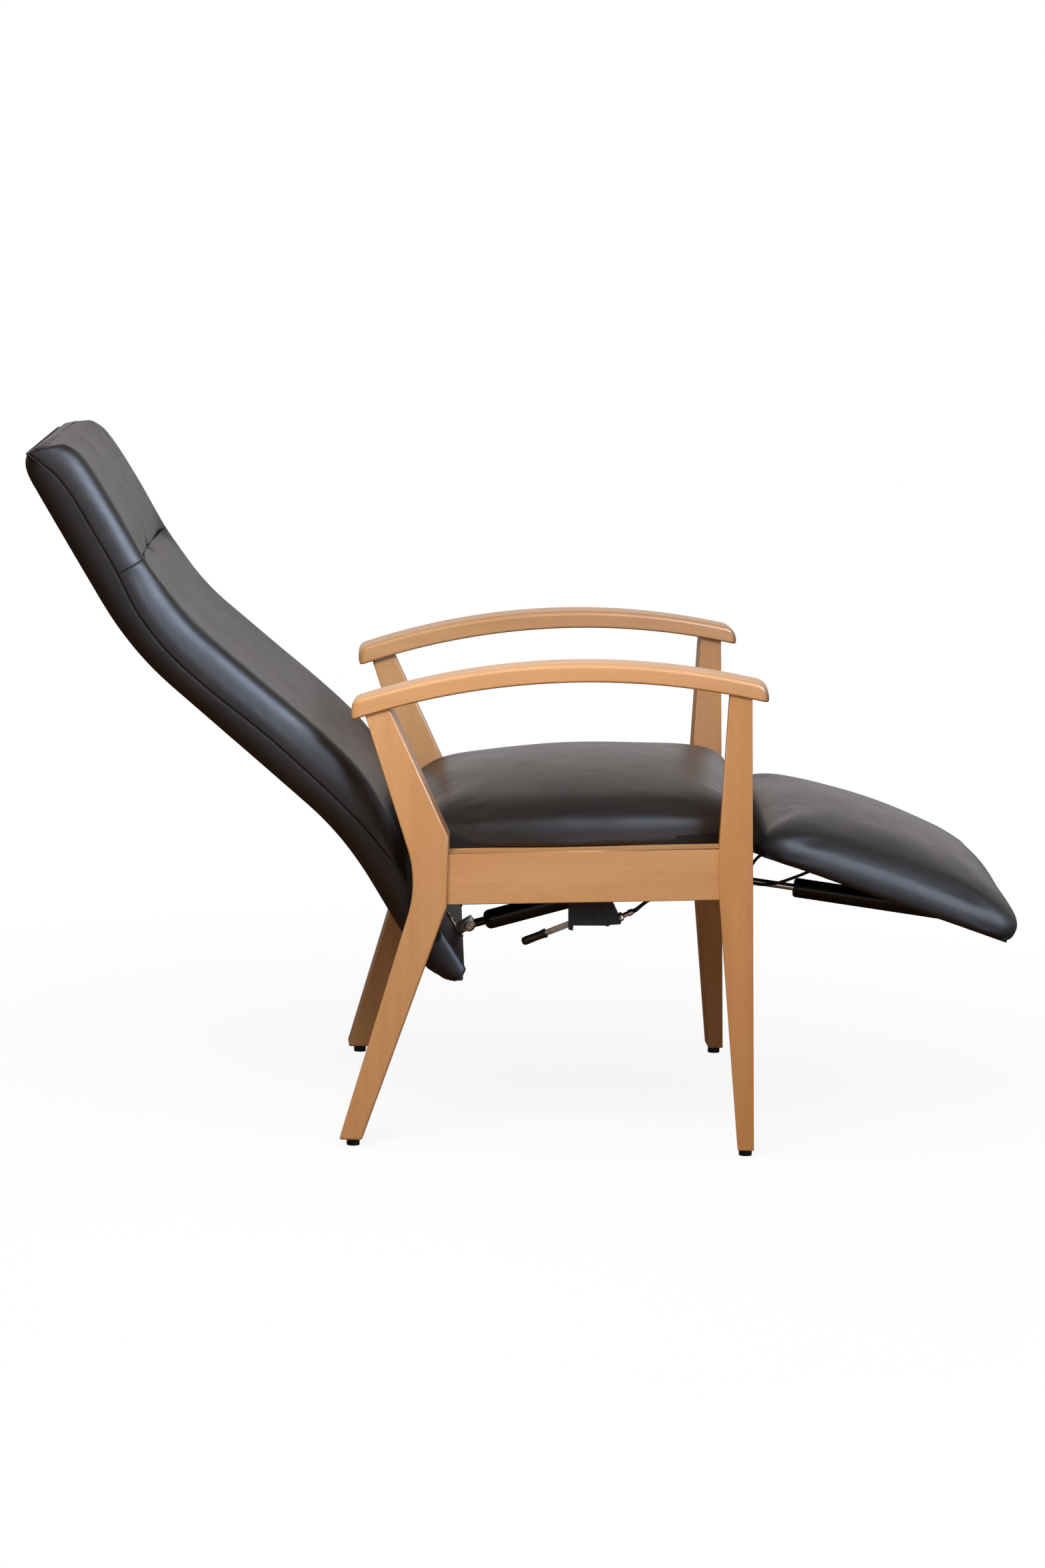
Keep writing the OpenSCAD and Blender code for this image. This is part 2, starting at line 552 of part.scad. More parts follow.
rail_from = seat_point((rear_knee_x - rear_face_x) / 2, 0);
rail_to = seat_point((front_foot_x - rear_face_x) - front_leg_w / 4, 0);
rail_down = [rail_h * sin(seat_tilt), -rail_h * cos(seat_tilt)];
cleat_down = [cleat_h * sin(seat_tilt), -cleat_h * cos(seat_tilt)];
module side_rail() color(wood) slab(rail_inset, rail_inset + rail_thick) difference() {
    polygon([rail_from, rail_to, rail_to + rail_down, rail_from + rail_down]);
    rear_leg_outline();
    front_leg_outline();
}
module side_rail_right() right_side() side_rail();
module side_rail_left() left_side() side_rail();

arm_top = [arm_top_x, arm_under_z + arm_thick - arm_top_r];
function nose_centre(x, r) = [x, arm_top[1] + sqrt(pow(arm_top_r - r, 2) - pow(x - arm_top[0], 2))];
function arc(c, r, a0, a1, n) = [for (k = [0 : n]) let (a = a0 + (a1 - a0) * k / n) c + r * [cos(a), sin(a)]];
front_nose = nose_centre(arm_end - arm_front_nose, arm_front_nose);
rear_nose = nose_centre(arm_x + arm_rear_nose, arm_rear_nose);
front_nose_turn = lean(arm_top, front_nose);
rear_nose_turn = lean(arm_top, rear_nose);
arm_outline = concat(under_line, arc(front_nose, arm_front_nose, 0, front_nose_turn, nose_steps),
    [for (k = [1 : arm_steps - 1]) let (a = front_nose_turn + (rear_nose_turn - front_nose_turn) * k / arm_steps)
        arm_top + arm_top_r * [cos(a), sin(a)]],
    arc(rear_nose, arm_rear_nose, rear_nose_turn, 180, nose_steps));
function rounded_plan(x, y, r) = concat(arc([x - r, r], r, -90, 0, nose_steps), arc([x - r, y - r], r, 0, 90, nose_steps),
    arc([r, y - r], r, 90, 180, nose_steps), arc([r, r], r, 180, 270, nose_steps));
module armrest() color(wood_top) intersection() {
    slab(-arm_overhang, arm_w - arm_overhang) polygon(arm_outline);
    translate([arm_x, -arm_overhang, 0]) linear_extrude(arm_under_z + 2 * arm_thick) polygon(rounded_plan(arm_len, arm_w, arm_corner));
}
module armrest_right() right_side() armrest();
module armrest_left() left_side() armrest();

module glide() color(plastic) cylinder(d = glide_d, h = glide_h);
module glides() {
    translate([glide_d, leg_thick / 2, 0]) glide();
    translate([front_foot_x + front_foot_len / 2, leg_thick / 2, 0]) glide();
}
module leg_glides() { right_side() glides(); left_side() glides(); }

// Seat frame
module seat_bar(a0, a1, h0, h1, t) intersection() {
    seat_plane() translate([a0, -rear_width, h0]) cube([a1 - a0, 2 * rear_width, h1 - h0]);
    between(t);
}
beam_a = rear_head_a - beam_thick / 2;
module rear_cross_rail() color(wood) seat_bar(rear_rail_a, rear_rail_a + rear_rail_thick, -rail_h, 0, leg_thick);
module front_cross_rail() color(wood) seat_bar(front_rail_a - front_rail_thick, front_rail_a, -rail_h, 0, leg_thick);
module spring_beam() color(wood) difference() {
    seat_bar(beam_a, beam_a + beam_thick, -rail_h, 0, rail_inset + rail_thick);
    seat_bar_outside(beam_a - overrun, beam_a + beam_thick + overrun, -cleat_h - 2 * fit_gap, overrun, rail_inset + rail_thick + cleat_w);
}
// The part of a bar that lies within depth t of the side frames
module seat_bar_outside(a0, a1, h0, h1, t) difference() {
    seat_plane() translate([a0, -rear_width, h0]) cube([a1 - a0, 2 * rear_width, h1 - h0]);
    between(t);
}
module seat_cleat() color(wood) slab(housing_t, housing_t + cleat_w) difference() {
    polygon([rail_from, rail_to, rail_to + cleat_down, rail_from + cleat_down]);
    rear_leg_outline();
    front_leg_outline();
}
module seat_cleat_right() right_side() seat_cleat();
module seat_cleat_left() left_side() seat_cleat();
module seat_board_shape(h) seat_bar(rear_rail_a + overrun, front_rail_a + seat_board_over, h, seat_board_thick, leg_thick + seat_board_gap);
module seat_board() color(ply) seat_board_shape(0);
seat_half_len = (seat_front_a - seat_rear_a) / 2;
module seat_cushion() color(leather) difference() {
    seat_plane() pillow(plan_loop(seat_corner / seat_half_len, seat_corner / seat_mid_half), seat_half_len,
        seat_rear_a + seat_half_len, seat_crown, seat_profile_shares, true);
    seat_board_shape(-overrun);
}

// Back
module board_outline(front) polygon(concat(
    [for (s = stations(0, board_end)) back_point(s, front)],
    [for (s = [for (l = [stations(0, board_end)]) for (i = [len(l) - 1 : -1 : 0]) l[i]]) back_point(s, -board_thick)]));
module back_board() color(ply) place() across(-board_half, board_half) board_outline(0);
module back_cover() color(leather_back) place() difference() {
    back_loft(rear_stations, [for (s = rear_stations) rear_section(s)]);
    across(-board_half, board_half) board_outline(overrun);
}
module back_cushion() color(leather) place() back_loft(back_stations, back_sections());
module head_cushion() color(leather_head) place() back_loft(head_stations, head_sections());

// Hinges of the back: a plate on each edge of the board, an angle bracket behind the rear rail
fixed_y = back_plate_y + plate_thick + plate_gap;
plate_low = back_point(hinge_low_s, -board_thick / 2);
plate_high = back_point(hinge_high_s, -board_thick / 2);
module back_hinge_plates() color(dark_steel) both() place() difference() {
    across(back_plate_y, back_plate_y + plate_thick) {
        link(plate_low, plate_end_r, plate_high, plate_end_r);
        link(plate_high, plate_end_r, back_hinge, plate_r);
    }
    translate([back_hinge[0], 0, back_hinge[1]]) rod_y(hinge_pin_r + fit_gap, back_plate_y - overrun, fixed_y);
}
bracket_w = 36;
module cheek(p, q, r) difference() {
    union() {
        translate(p) circle(r);
        translate(p) rotate(atan2(q[1] - p[1], q[0] - p[0])) translate([0, -r]) square([norm(q - p), 2 * r]);
    }
    translate(p) circle(hinge_pin_r);
}
module back_hinge_brackets() color(dark_steel) both() union() {
    seat_plane() translate([rear_rail_a - back_hinge_off, 0, -back_hinge_drop])
        across(fixed_y, fixed_y + plate_thick) cheek([0, 0], [back_hinge_off, 0], plate_r);
    seat_plane() translate([rear_rail_a - bracket_thick, fixed_y + plate_thick - bracket_w, -back_hinge_drop - plate_r])
        cube([bracket_thick, bracket_w, 2 * plate_r]);
}
bolt_head = 3.5;
module hinge_bolt(y0, y1, head) { rod_y(hinge_pin_r, y0, y1); rod_y(head, y1, y1 + bolt_head, 6); }
module back_hinge_bolts() color(dark_steel) both() place() translate([back_hinge[0], 0, back_hinge[1]])
    hinge_bolt(back_plate_y, fixed_y + plate_thick, 2 * hinge_pin_r);

// Hinges of the footrest
rest_fixed_y = footrest_plate_y + plate_thick + plate_gap;
// The plate climbs straight up from the axis and runs on under the footrest as a flange
plate_side = 0.9 * rest_plate_r * [cos(footrest_slope), sin(footrest_slope)];
plate_neck = plate_side + (footrest_hinge_n - plate_thick - plate_side[1]) / cos(footrest_slope) * [-sin(footrest_slope), cos(footrest_slope)];
plate_reach = footrest_hinge_a + footrest_board_gap + 2 * bracket_thick;
module footrest_hinge_plates() color(dark_steel) both() footrest_plane() union() {
    translate([-footrest_hinge_a, 0, -footrest_hinge_n]) across(footrest_plate_y, footrest_plate_y + plate_thick) difference() {
        union() {
            circle(rest_plate_r);
            polygon([[-rest_plate_r, 0], plate_side, plate_neck, [plate_reach, plate_neck[1]], [plate_reach, footrest_hinge_n], [-rest_plate_r, footrest_hinge_n]]);
        }
        circle(hinge_pin_r + fit_gap);
    }
    translate([footrest_board_gap, footrest_plate_y + plate_thick - bracket_w, -bracket_thick]) cube([bracket_w, bracket_w, bracket_thick]);
}
module footrest_hinge_brackets() color(dark_steel) both() seat_plane() union() {
    translate([front_rail_a + footrest_hinge_off, 0, -footrest_hinge_drop])
        across(rest_fixed_y, rest_fixed_y + plate_thick) cheek([0, 0], [-footrest_hinge_off, 0], rest_plate_r);
    translate([front_rail_a, rest_fixed_y, -footrest_hinge_drop - rest_plate_r]) cube([bracket_thick, bracket_w, 2 * rest_plate_r]);
}
module footrest_hinge_bolts() color(dark_steel) both() place() translate([footrest_hinge[0], 0, footrest_hinge[1]])
    hinge_bolt(footrest_plate_y, rest_fixed_y + plate_thick, min(2 * hinge_pin_r, footrest_hinge_off - bracket_thick - 2 * fit_gap));

// Footrest
module footrest_board_shape(n0) translate([footrest_board_gap, -footrest_half + footrest_board_gap, n0])
    cube([footrest_len - 2 * footrest_board_gap, 2 * (footrest_half - footrest_board_gap), footrest_board_thick - n0]);
module footrest_board() color(ply) footrest_plane() footrest_board_shape(0);
module footrest_cushion() color(leather) footrest_plane() difference() {
    pillow(plan_loop(2 * footrest_corner / footrest_len, footrest_corner / footrest_half), footrest_len / 2,
        footrest_len / 2, footrest_crown, footrest_profile_shares, false);
    footrest_board_shape(-overrun);
}

// Spring brackets: a base plate with two cheeks; play is the length of the slot, along slot_way
cheek_in = eye_w / 2 + side_gap;
hanger_half = cheek_r + overrun;
// The rear hanger's slot runs square to the gas spring, away from the beam
module rear_spring_hanger() color(dark_steel) seat_plane() translate([rear_head_a, 0, -rail_h]) mirror([0, 0, 1])
    spring_bracket(-hanger_half, hanger_half, head_drop, rear_slot, 90 - (rear_angle - seat_tilt), spring_pin_r + slot_gap);
module front_spring_hanger() color(dark_steel) seat_plane() translate([front_head_a, 0, -rail_h]) mirror([0, 0, 1])
    spring_bracket(-hanger_half, hanger_half, head_drop, 0, 90, spring_pin_r);
// Base plate on z = 0 from x0 to x1, pin at height drop, cheeks on both sides
module spring_bracket(x0, x1, drop, play, slot_way, hole_r) {
    way = play * [cos(slot_way), sin(slot_way)];
    union() {
        translate([x0, -cheek_in - bracket_thick, 0]) cube([x1 - x0, 2 * (cheek_in + bracket_thick), bracket_thick]);
        both() across(cheek_in, cheek_in + bracket_thick) difference() {
            union() {
                translate([0, drop]) circle(cheek_r);
                if (play > 0) link([0, drop], cheek_r, [0, drop] + way, cheek_r);
                translate([-cheek_r, 0]) square([2 * cheek_r, drop]);
            }
            if (play > 0) link([0, drop], hole_r, [0, drop] + way, hole_r);
            else translate([0, drop]) circle(hole_r);
        }
    }
}
module spring_pin(drop) { rod_y(spring_pin_r, -cheek_in - bracket_thick - clip_gap, cheek_in + bracket_thick + clip_gap);
    both() rod_y(1.6 * spring_pin_r, cheek_in + bracket_thick + clip_gap, cheek_in + bracket_thick + clip_gap + drop, 6); }
clip_w = 2.5;
module front_head_pin() color(steel) axis_frame(front_head, front_angle) spring_pin(clip_w);
module rear_head_pin() color(steel) axis_frame(rear_head, rear_angle) spring_pin(clip_w);
module front_eye_pin() color(steel) axis_frame(front_eye, front_angle) spring_pin(clip_w);
module rear_eye_bolt() color(steel) axis_frame(rear_eye, rear_angle) spring_pin(2 * clip_w);

bracket_low = 3;
bracket_high = 44;
module rear_spring_bracket() color(steel) place() translate([back_point(rear_eye_s, 0)[0], 0, back_point(rear_eye_s, 0)[1]])
    rotate([0, lower_angle - 180, 0]) mirror([0, 0, 1]) spring_bracket(bracket_low - rear_eye_s, bracket_high - rear_eye_s, rear_eye_n, 0, 90, spring_pin_r);
module front_spring_bracket() color(steel) footrest_plane() translate([front_eye_a, 0, 0]) mirror([0, 0, 1])
    spring_bracket(-cheek_r - 4 * overrun, cheek_r + 4 * overrun, front_eye_n, front_slot, 90 - footrest_slope - front_slot_skew, spring_pin_r + wide_slot_gap);

// Gas springs, drawn from the eye's axis along +X
groove = 0.8;
head_rim = 1;
lug_y = 13;
groove_at = 27;
collar_w = 9;
chamfer = 4;
bore_r = tube_r - tube_wall;
module spring_tube(l) rotate([0, 90, 0]) rotate_extrude($fn = 96) {
    x0 = eye_reach;
    x1 = eye_reach + l;
    polygon([[spring_pin_r, x0], [tube_r - chamfer, x0], [tube_r, x0 + chamfer],
        [tube_r, x1 - groove_at - collar_w], [tube_r - groove, x1 - groove_at - collar_w], [tube_r - groove, x1 - groove_at - collar_w + groove],
        [tube_r, x1 - groove_at - collar_w + groove], [tube_r, x1 - groove_at], [tube_r - groove, x1 - groove_at],
        [tube_r - groove, x1 - groove_at + groove], [tube_r, x1 - groove_at + groove],
        [tube_r, x1 - chamfer], [tube_r - chamfer, x1], [rod_r + fit_gap, x1], [rod_r + fit_gap, x1 - guide_len],
        [bore_r, x1 - guide_len], [bore_r, x0 + tube_end], [spring_pin_r, x0 + tube_end]]);
}
module spring_eye(hole_r) difference() {
    union() {
        rod_y(eye_r, -eye_w / 2, eye_w / 2);
        rod_x(spring_pin_r, eye_r - overrun, eye_reach + tube_end);
        rod_x(eye_w / 2, eye_r - overrun, eye_reach);
    }
    rod_y(hole_r, -eye_w, eye_w);
}
// The lug at its side takes the end of the release cable
module release_head(hole_r) difference() {
    union() {
        rod_y(eye_r + head_rim, -eye_w / 2, eye_w / 2);
        rod_x(eye_w / 2, 0, head_reach);
        rod_x(head_r, eye_r + 2 * overrun, head_reach);
        translate([head_reach - 2 * bracket_thick, -lug_y - 2 * cable_r, -2 * cable_r]) cube([bracket_thick, lug_y + 2 * cable_r, 4 * cable_r]);
    }
    rod_y(hole_r, -eye_w, eye_w);
    rod_x(rod_r, head_reach - socket_depth, head_reach + overrun);
}
module rear_spring_tube() color(plastic) axis_frame(rear_eye, rear_angle) spring_tube(rear_tube_len);
module rear_spring_eye() color(steel) axis_frame(rear_eye, rear_angle) spring_eye(spring_pin_r + fit_gap);
module rear_spring_rod() color(chrome) axis_frame(rear_eye, rear_angle) rod_x(rod_r, rear_piston_x + piston_w, rear_span - head_reach + socket_depth);
module rear_spring_piston() color(steel) axis_frame(rear_eye, rear_angle) rod_x(piston_r, rear_piston_x, rear_piston_x + piston_w);
module rear_release_head() color(dark_steel) axis_frame(rear_head, rear_angle + 180) release_head(spring_pin_r);
module front_spring_tube() color(plastic) axis_frame(front_eye, front_angle + 180) spring_tube(front_tube_len);
module front_spring_eye() color(steel) axis_frame(front_eye, front_angle + 180) spring_eye(spring_pin_r);
module front_spring_rod() color(chrome) axis_frame(front_head, front_angle) rod_x(rod_r, head_reach - socket_depth, front_piston_x);
module front_spring_piston() color(steel) axis_frame(front_head, front_angle) rod_x(piston_r, front_piston_x, front_piston_x + piston_w);
module front_release_head() color(dark_steel) axis_frame(front_head, front_angle) release_head(spring_pin_r + fit_gap);

// Release lever under the right-hand rail
housing_t = rail_inset + rail_thick;
lever_t = housing_t + housing_w / 2;
lever_slot = lever_bar_thick + 2 * side_gap;
lever_pin_r = 2.5;
boss_r = 4.5;
boss_h = 1.5;
lever_end = [lever_x, lever_z] - lever_bar * [cos(lever_slope), sin(lever_slope)];
housing_points = [for (p = housing_shares) [housing_x + p[0] * housing_len, housing_z + p[1] * housing_h]];
module lever_housing() color(plastic) right_side() difference() {
    slab(housing_t, housing_t + housing_w) polygon(housing_points);
    translate([housing_x - overrun, lever_t - lever_slot / 2, housing_z - overrun])
        cube([lever_x + 2 * boss_r - housing_x + overrun, lever_slot, lever_z + 2 * boss_r - housing_z + overrun]);
    translate([lever_x, 0, lever_z]) rod_y(lever_pin_r, 0, 2 * lever_t);
}
module lever_pin() color(steel) right_side() translate([lever_x, 0, lever_z]) {
    rod_y(lever_pin_r, housing_t, housing_t + housing_w);
    rod_y(boss_r, housing_t - boss_h, housing_t);
}
module lever_bar_outline() link([lever_x, lever_z], 1.6 * boss_r, lever_end, lever_bar_h / 2);
module lever_shape() slab(lever_t - lever_bar_thick / 2, lever_t + lever_bar_thick / 2) difference() {
    union() {
        translate([lever_x, lever_z]) circle(1.6 * boss_r);
        translate([lever_x, lever_z]) rotate(180 + lever_slope) translate([0, -lever_bar_h / 2]) square([lever_bar + grip_len - grip_r, lever_bar_h]);
    }
    translate([lever_x, lever_z]) circle(lever_pin_r + fit_gap);
}
module release_lever() color(dark_steel) right_side() lever_shape();
module lever_grip() color(plastic) right_side() difference() {
    translate([lever_end[0], lever_t, lever_end[1]]) rotate([0, -90 - lever_slope, 0]) rotate_extrude() difference() {
        union() {
            translate([0, grip_r]) square([grip_r, grip_len - 2 * grip_r]);
            translate([0, grip_r]) circle(grip_r);
            translate([0, grip_len - grip_r]) circle(grip_r);
        }
        translate([-2 * grip_r, -grip_r]) square([2 * grip_r, grip_len + 2 * grip_r]);
    }
    slab(lever_t - lever_bar_thick / 2, lever_t + lever_bar_thick / 2) translate([lever_x, lever_z]) rotate(180 + lever_slope)
        translate([0, -lever_bar_h / 2]) square([lever_bar + grip_len - grip_r, lever_bar_h]);
}
// Cable adjusters on the slanted front wall of the housing
wall_foot = housing_points[8];
wall_head = housing_points[9];
wall_angle = atan2(wall_head[1] - wall_foot[1], wall_head[0] - wall_foot[0]);
adjuster_up = 6;
adjuster_apart = 10;
adjuster_base = wall_foot + adjuster_up * (wall_head - wall_foot) / norm(wall_head - wall_foot);
adjuster_t = [lever_t - adjuster_apart / 2, lever_t + adjuster_apart / 2];
nut_len = 5;
nut_r = 4.6;
barrel_len = 13;
barrel_r = 3;
ferrule_len = 20;
ferrule_r = 3.6;
module adjuster() {
    rod_x(nut_r, 0, nut_len);
    rod_x(barrel_r, nut_len, barrel_len);
    rod_x(ferrule_r, barrel_len, ferrule_len);
}
module cable_adjusters() color(steel) right_side() for (t = adjuster_t)
    translate([adjuster_base[0], t, adjuster_base[1]]) rotate([0, 90 - wall_angle, 0]) adjuster();

// Release cables: hand-set routes between their fittings
function side_point(u, t, z) = [u * cos(splay) + t * sin(splay), -rear_width / 2 - u * sin(splay) + t * cos(splay), z];
cable_way = [sin(wall_angle), -cos(wall_angle)];
function cable_start(t, l) = let (p = adjuster_base + (ferrule_len + l) * cable_way) side_point(p[0], t, p[1]);
rear_route = [[410, -279, 340], [420, -275, 346], [433, -262, 347], [442, -230, 346], [447, -180, 342], [448, -120, 337], [446, -68, 335], [438, -36, 340]];
front_route = [[409, -285, 340], [419, -284, 346], [436, -277, 347], [460, -262, 348], [494, -236, 348], [526, -206, 348], [548, -186, 350],
    [558, -174, 360], [564, -166, 374], [578, -155, 387], [602, -138, 386], [630, -112, 376], [656, -78, 366], [670, -46, 357], [669, -24, 347], [656, -14, 338], [638, -12, 330], [616, -12, 322], [596, -13, 319], [578, -13, 321]];
function unit(v) = v / norm(v);
function catmull(p, q, r, s, t) = 0.5 * (2 * q + (r - p) * t + (2 * p - 5 * q + 4 * r - s) * t * t + (3 * q - p - 3 * r + s) * t * t * t);
function smooth(v, k) = concat([for (i = [0 : len(v) - 2]) for (j = [0 : k - 1])
    catmull(v[max(i - 1, 0)], v[i], v[i + 1], v[min(i + 2, len(v) - 1)], j / k)], [v[len(v) - 1]]);
function tangent(v, i) = i == 0 ? unit(v[1] - v[0]) : i == len(v) - 1 ? unit(v[i] - v[i - 1]) : unit(unit(v[i] - v[i - 1]) + unit(v[i + 1] - v[i]));
function carried(v, i, n) = let (t = tangent(v, i)) unit(n - (n * t) * t);
function normals(v) = [for (i = 0, n = carried(v, 0, [0, 0.2, 1]); i < len(v); i = i + 1, n = i < len(v) ? carried(v, i, n) : n) n];
cable_sides = 8;
module cable(v, r) {
    ns = normals(v);
    n = len(v);
    m = cable_sides;
    polyhedron([for (i = [0 : n - 1]) let (t = tangent(v, i), b = cross(t, ns[i])) for (j = [0 : m - 1]) let (a = 360 * j / m)
        v[i] + r * (cos(a) * ns[i] + sin(a) * b)],
        concat([for (i = [0 : n - 2]) for (j = [0 : m - 1]) let (k = (j + 1) % m)
            each [[i * m + j, (i + 1) * m + k, i * m + k], [i * m + j, (i + 1) * m + j, (i + 1) * m + k]]],
            [[for (j = [0 : m - 1]) j]], [[for (j = [m - 1 : -1 : 0]) (n - 1) * m + j]]));
}
// Each cable starts and ends with a straight piece, square to the face it meets
stop_up = 17;
rear_stop = [rear_head[0], -cheek_in - bracket_thick, rear_head[1] + stop_up];
rear_stop_way = [0, 1, 0];
front_stop_way = [-cos(front_angle), 0, -sin(front_angle)];
front_stop = [front_head[0], -lug_y, front_head[1]] - (head_reach - bracket_thick) * front_stop_way;
function route(t, points, stop, way) = concat([cable_start(t, 0)],
    smooth(concat([cable_start(t, 2 * cable_r)], points, [stop - 2 * cable_r * way]), 2), [stop]);
module rear_cable() color(plastic) place() cable(route(adjuster_t[1], rear_route, rear_stop, rear_stop_way), cable_r);
module front_cable() color(plastic) place() cable(route(adjuster_t[0], front_route, front_stop, front_stop_way), cable_r);

echo(origin = origin_x, back_hinge = back_hinge, footrest_hinge = footrest_hinge, rear_eye = rear_eye, rear_head = rear_head,
    front_head = front_head, front_eye = front_eye, rear_angle = rear_angle, rear_span = rear_span, front_angle = front_angle,
    front_span = front_span, back_len = back_len, rear_reach = rear_reach, front_reach = front_reach, lever = side_point(lever_x, lever_t, lever_z));

rear_leg_right();
rear_leg_left();
front_leg_right();
front_leg_left();
side_rail_right();
side_rail_left();
armrest_right();
armrest_left();
rear_cross_rail();
front_cross_rail();
seat_cleat_right();
seat_cleat_left();
spring_beam();
leg_glides();
seat_board();
seat_cushion();
back_hinge_brackets();
back_hinge_bolts();
footrest_hinge_brackets();
footrest_hinge_bolts();
rear_spring_hanger();
front_spring_hanger();
front_head_pin();
lever_housing();
lever_pin();
cable_adjusters();
rear_cable();
front_cable();
back_board();
back_cover();
back_cushion();
head_cushion();
back_hinge_plates();
rear_spring_bracket();
rear_eye_bolt();
rear_spring_tube();
rear_spring_eye();
rear_spring_rod();
rear_spring_piston();
rear_release_head();
rear_head_pin();
footrest_board();
footrest_cushion();
footrest_hinge_plates();
front_spring_bracket();
front_spring_rod();
front_spring_piston();
front_release_head();
front_spring_tube();
front_spring_eye();
front_eye_pin();
release_lever();
lever_grip();
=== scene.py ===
# Reclining lounge chair: the looks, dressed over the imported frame. Metres, +X towards the footrest, +Z up.
import json
from math import atan2, cos, exp, hypot, pi, radians, sin, sqrt
import bpy
import bmesh
import numpy as np
from mathutils import Matrix, Vector

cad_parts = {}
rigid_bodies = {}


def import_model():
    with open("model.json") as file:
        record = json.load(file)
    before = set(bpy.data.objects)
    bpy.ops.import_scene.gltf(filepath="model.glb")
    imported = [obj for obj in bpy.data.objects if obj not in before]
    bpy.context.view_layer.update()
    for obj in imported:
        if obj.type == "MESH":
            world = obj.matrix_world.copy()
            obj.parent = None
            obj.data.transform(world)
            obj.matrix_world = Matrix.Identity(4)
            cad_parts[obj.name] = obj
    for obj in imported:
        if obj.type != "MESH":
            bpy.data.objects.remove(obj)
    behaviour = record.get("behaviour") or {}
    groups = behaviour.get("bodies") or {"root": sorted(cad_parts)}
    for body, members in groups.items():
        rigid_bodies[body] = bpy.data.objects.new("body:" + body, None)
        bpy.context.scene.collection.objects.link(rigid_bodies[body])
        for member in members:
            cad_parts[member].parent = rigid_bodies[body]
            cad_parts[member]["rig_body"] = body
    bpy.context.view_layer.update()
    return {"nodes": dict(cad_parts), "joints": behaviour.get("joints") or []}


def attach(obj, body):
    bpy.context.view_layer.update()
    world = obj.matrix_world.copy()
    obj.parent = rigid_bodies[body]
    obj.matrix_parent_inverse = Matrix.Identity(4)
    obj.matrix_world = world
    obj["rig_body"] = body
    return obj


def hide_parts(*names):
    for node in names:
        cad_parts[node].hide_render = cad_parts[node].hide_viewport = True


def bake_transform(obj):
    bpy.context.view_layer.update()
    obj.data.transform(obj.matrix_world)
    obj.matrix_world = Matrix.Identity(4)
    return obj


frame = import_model()
nodes = frame["nodes"]
jointPlace = {j["name"]: j["pos_m"] for j in frame["joints"] if "pos_m" in j}
scene = bpy.context.scene
print("frame loaded,", len(nodes), "nodes")

# The side view is laid out from the rear foot, and the frame from the middle of the chair
layout = {
    "backHinge": (0.0978934, 0.388056), "rearWidth": 0.622, "splay": radians(2.92),
    "seatStart": (0.142, 0.4095), "seatTilt": radians(2.5), "footrestSlope": radians(18.9),
    "footrestHinge": (0.0075, 0.0226),
}
originX = layout["backHinge"][0] - jointPlace["back_recline"][0]


def slant(angle, a, h):
    # a runs along a line that falls by angle, h stands square on it
    return a * cos(angle) + h * sin(angle), h * cos(angle) - a * sin(angle)


def chairPoint(x, y, z):
    return x - originX, y, z


def seatPoint(a, y, h):
    x, z = slant(-layout["seatTilt"], a, h)
    return chairPoint(layout["seatStart"][0] + x, y, layout["seatStart"][1] + z)


footrestStart = np.array(jointPlace["footrest_fold"])[[0, 2]] + [originX, 0]
footrestStart += slant(layout["footrestSlope"], *layout["footrestHinge"])


def footrestPoint(a, y, n):
    x, z = slant(layout["footrestSlope"], a, n)
    return chairPoint(footrestStart[0] + x, y, footrestStart[1] + z)


def sidePoint(u, t, z):
    # u runs along the right-hand side frame, t inwards from its outer face
    x, y = slant(layout["splay"], u, t)
    return chairPoint(x, y - layout["rearWidth"] / 2, z)


# The back's front face: straights and bends, as length, first and last steepness
spine = {
    "start": (layout["backHinge"][0] + 0.070, layout["backHinge"][1] - 0.157),
    "parts": [(0.177, 57.2, 57.2), (0.150, 57.2, 40.5), (0.240, 40.5, 40.5), (0.139, 40.5, 60.0),
              (0.185, 60.0, 60.0), (0.029, 60.0, 75.0)],
    "bare": 0.177, "seam": 0.727, "length": 0.920,
}


def spineAt(s):
    x, z = spine["start"]
    for i, (length, a0, a1) in enumerate(spine["parts"]):
        a0, a1 = radians(a0), radians(a1)
        d = s if i == len(spine["parts"]) - 1 else min(s, length)
        if abs(a1 - a0) < 1e-9:
            x, z, a = x - d * cos(a0), z + d * sin(a0), a0
        else:
            r = length / (a1 - a0)
            a = a0 + (a1 - a0) * d / length
            x, z = x - r * (sin(a) - sin(a0)), z - r * (cos(a) - cos(a0))
        s -= d
        if s <= 0 and i < len(spine["parts"]) - 1:
            break
    return x, z, a


def backPoint(s, y, n):
    x, z, a = spineAt(s)
    return chairPoint(x + n * sin(a), y, z + n * cos(a))


# Camera: a long lens, higher than the chair and looking down a little
camera = {"lens": 94.9, "place": (0.09773, -5.79658, 1.38182), "yaw": radians(-1.488), "pitch": radians(9.067),
          "roll": radians(1.177)}


def addObject(name, data):
    piece = bpy.data.objects.new(name, data)
    scene.collection.objects.link(piece)
    return piece


def newObject(name, verts, faces, material=None, smooth=True):
    mesh = bpy.data.meshes.new(name)
    mesh.from_pydata([tuple(v) for v in verts], [], faces)
    if material:
        mesh.materials.append(material)
    mesh.polygons.foreach_set("use_smooth", [smooth] * len(mesh.polygons))
    mesh.update()
    return addObject(name, mesh)


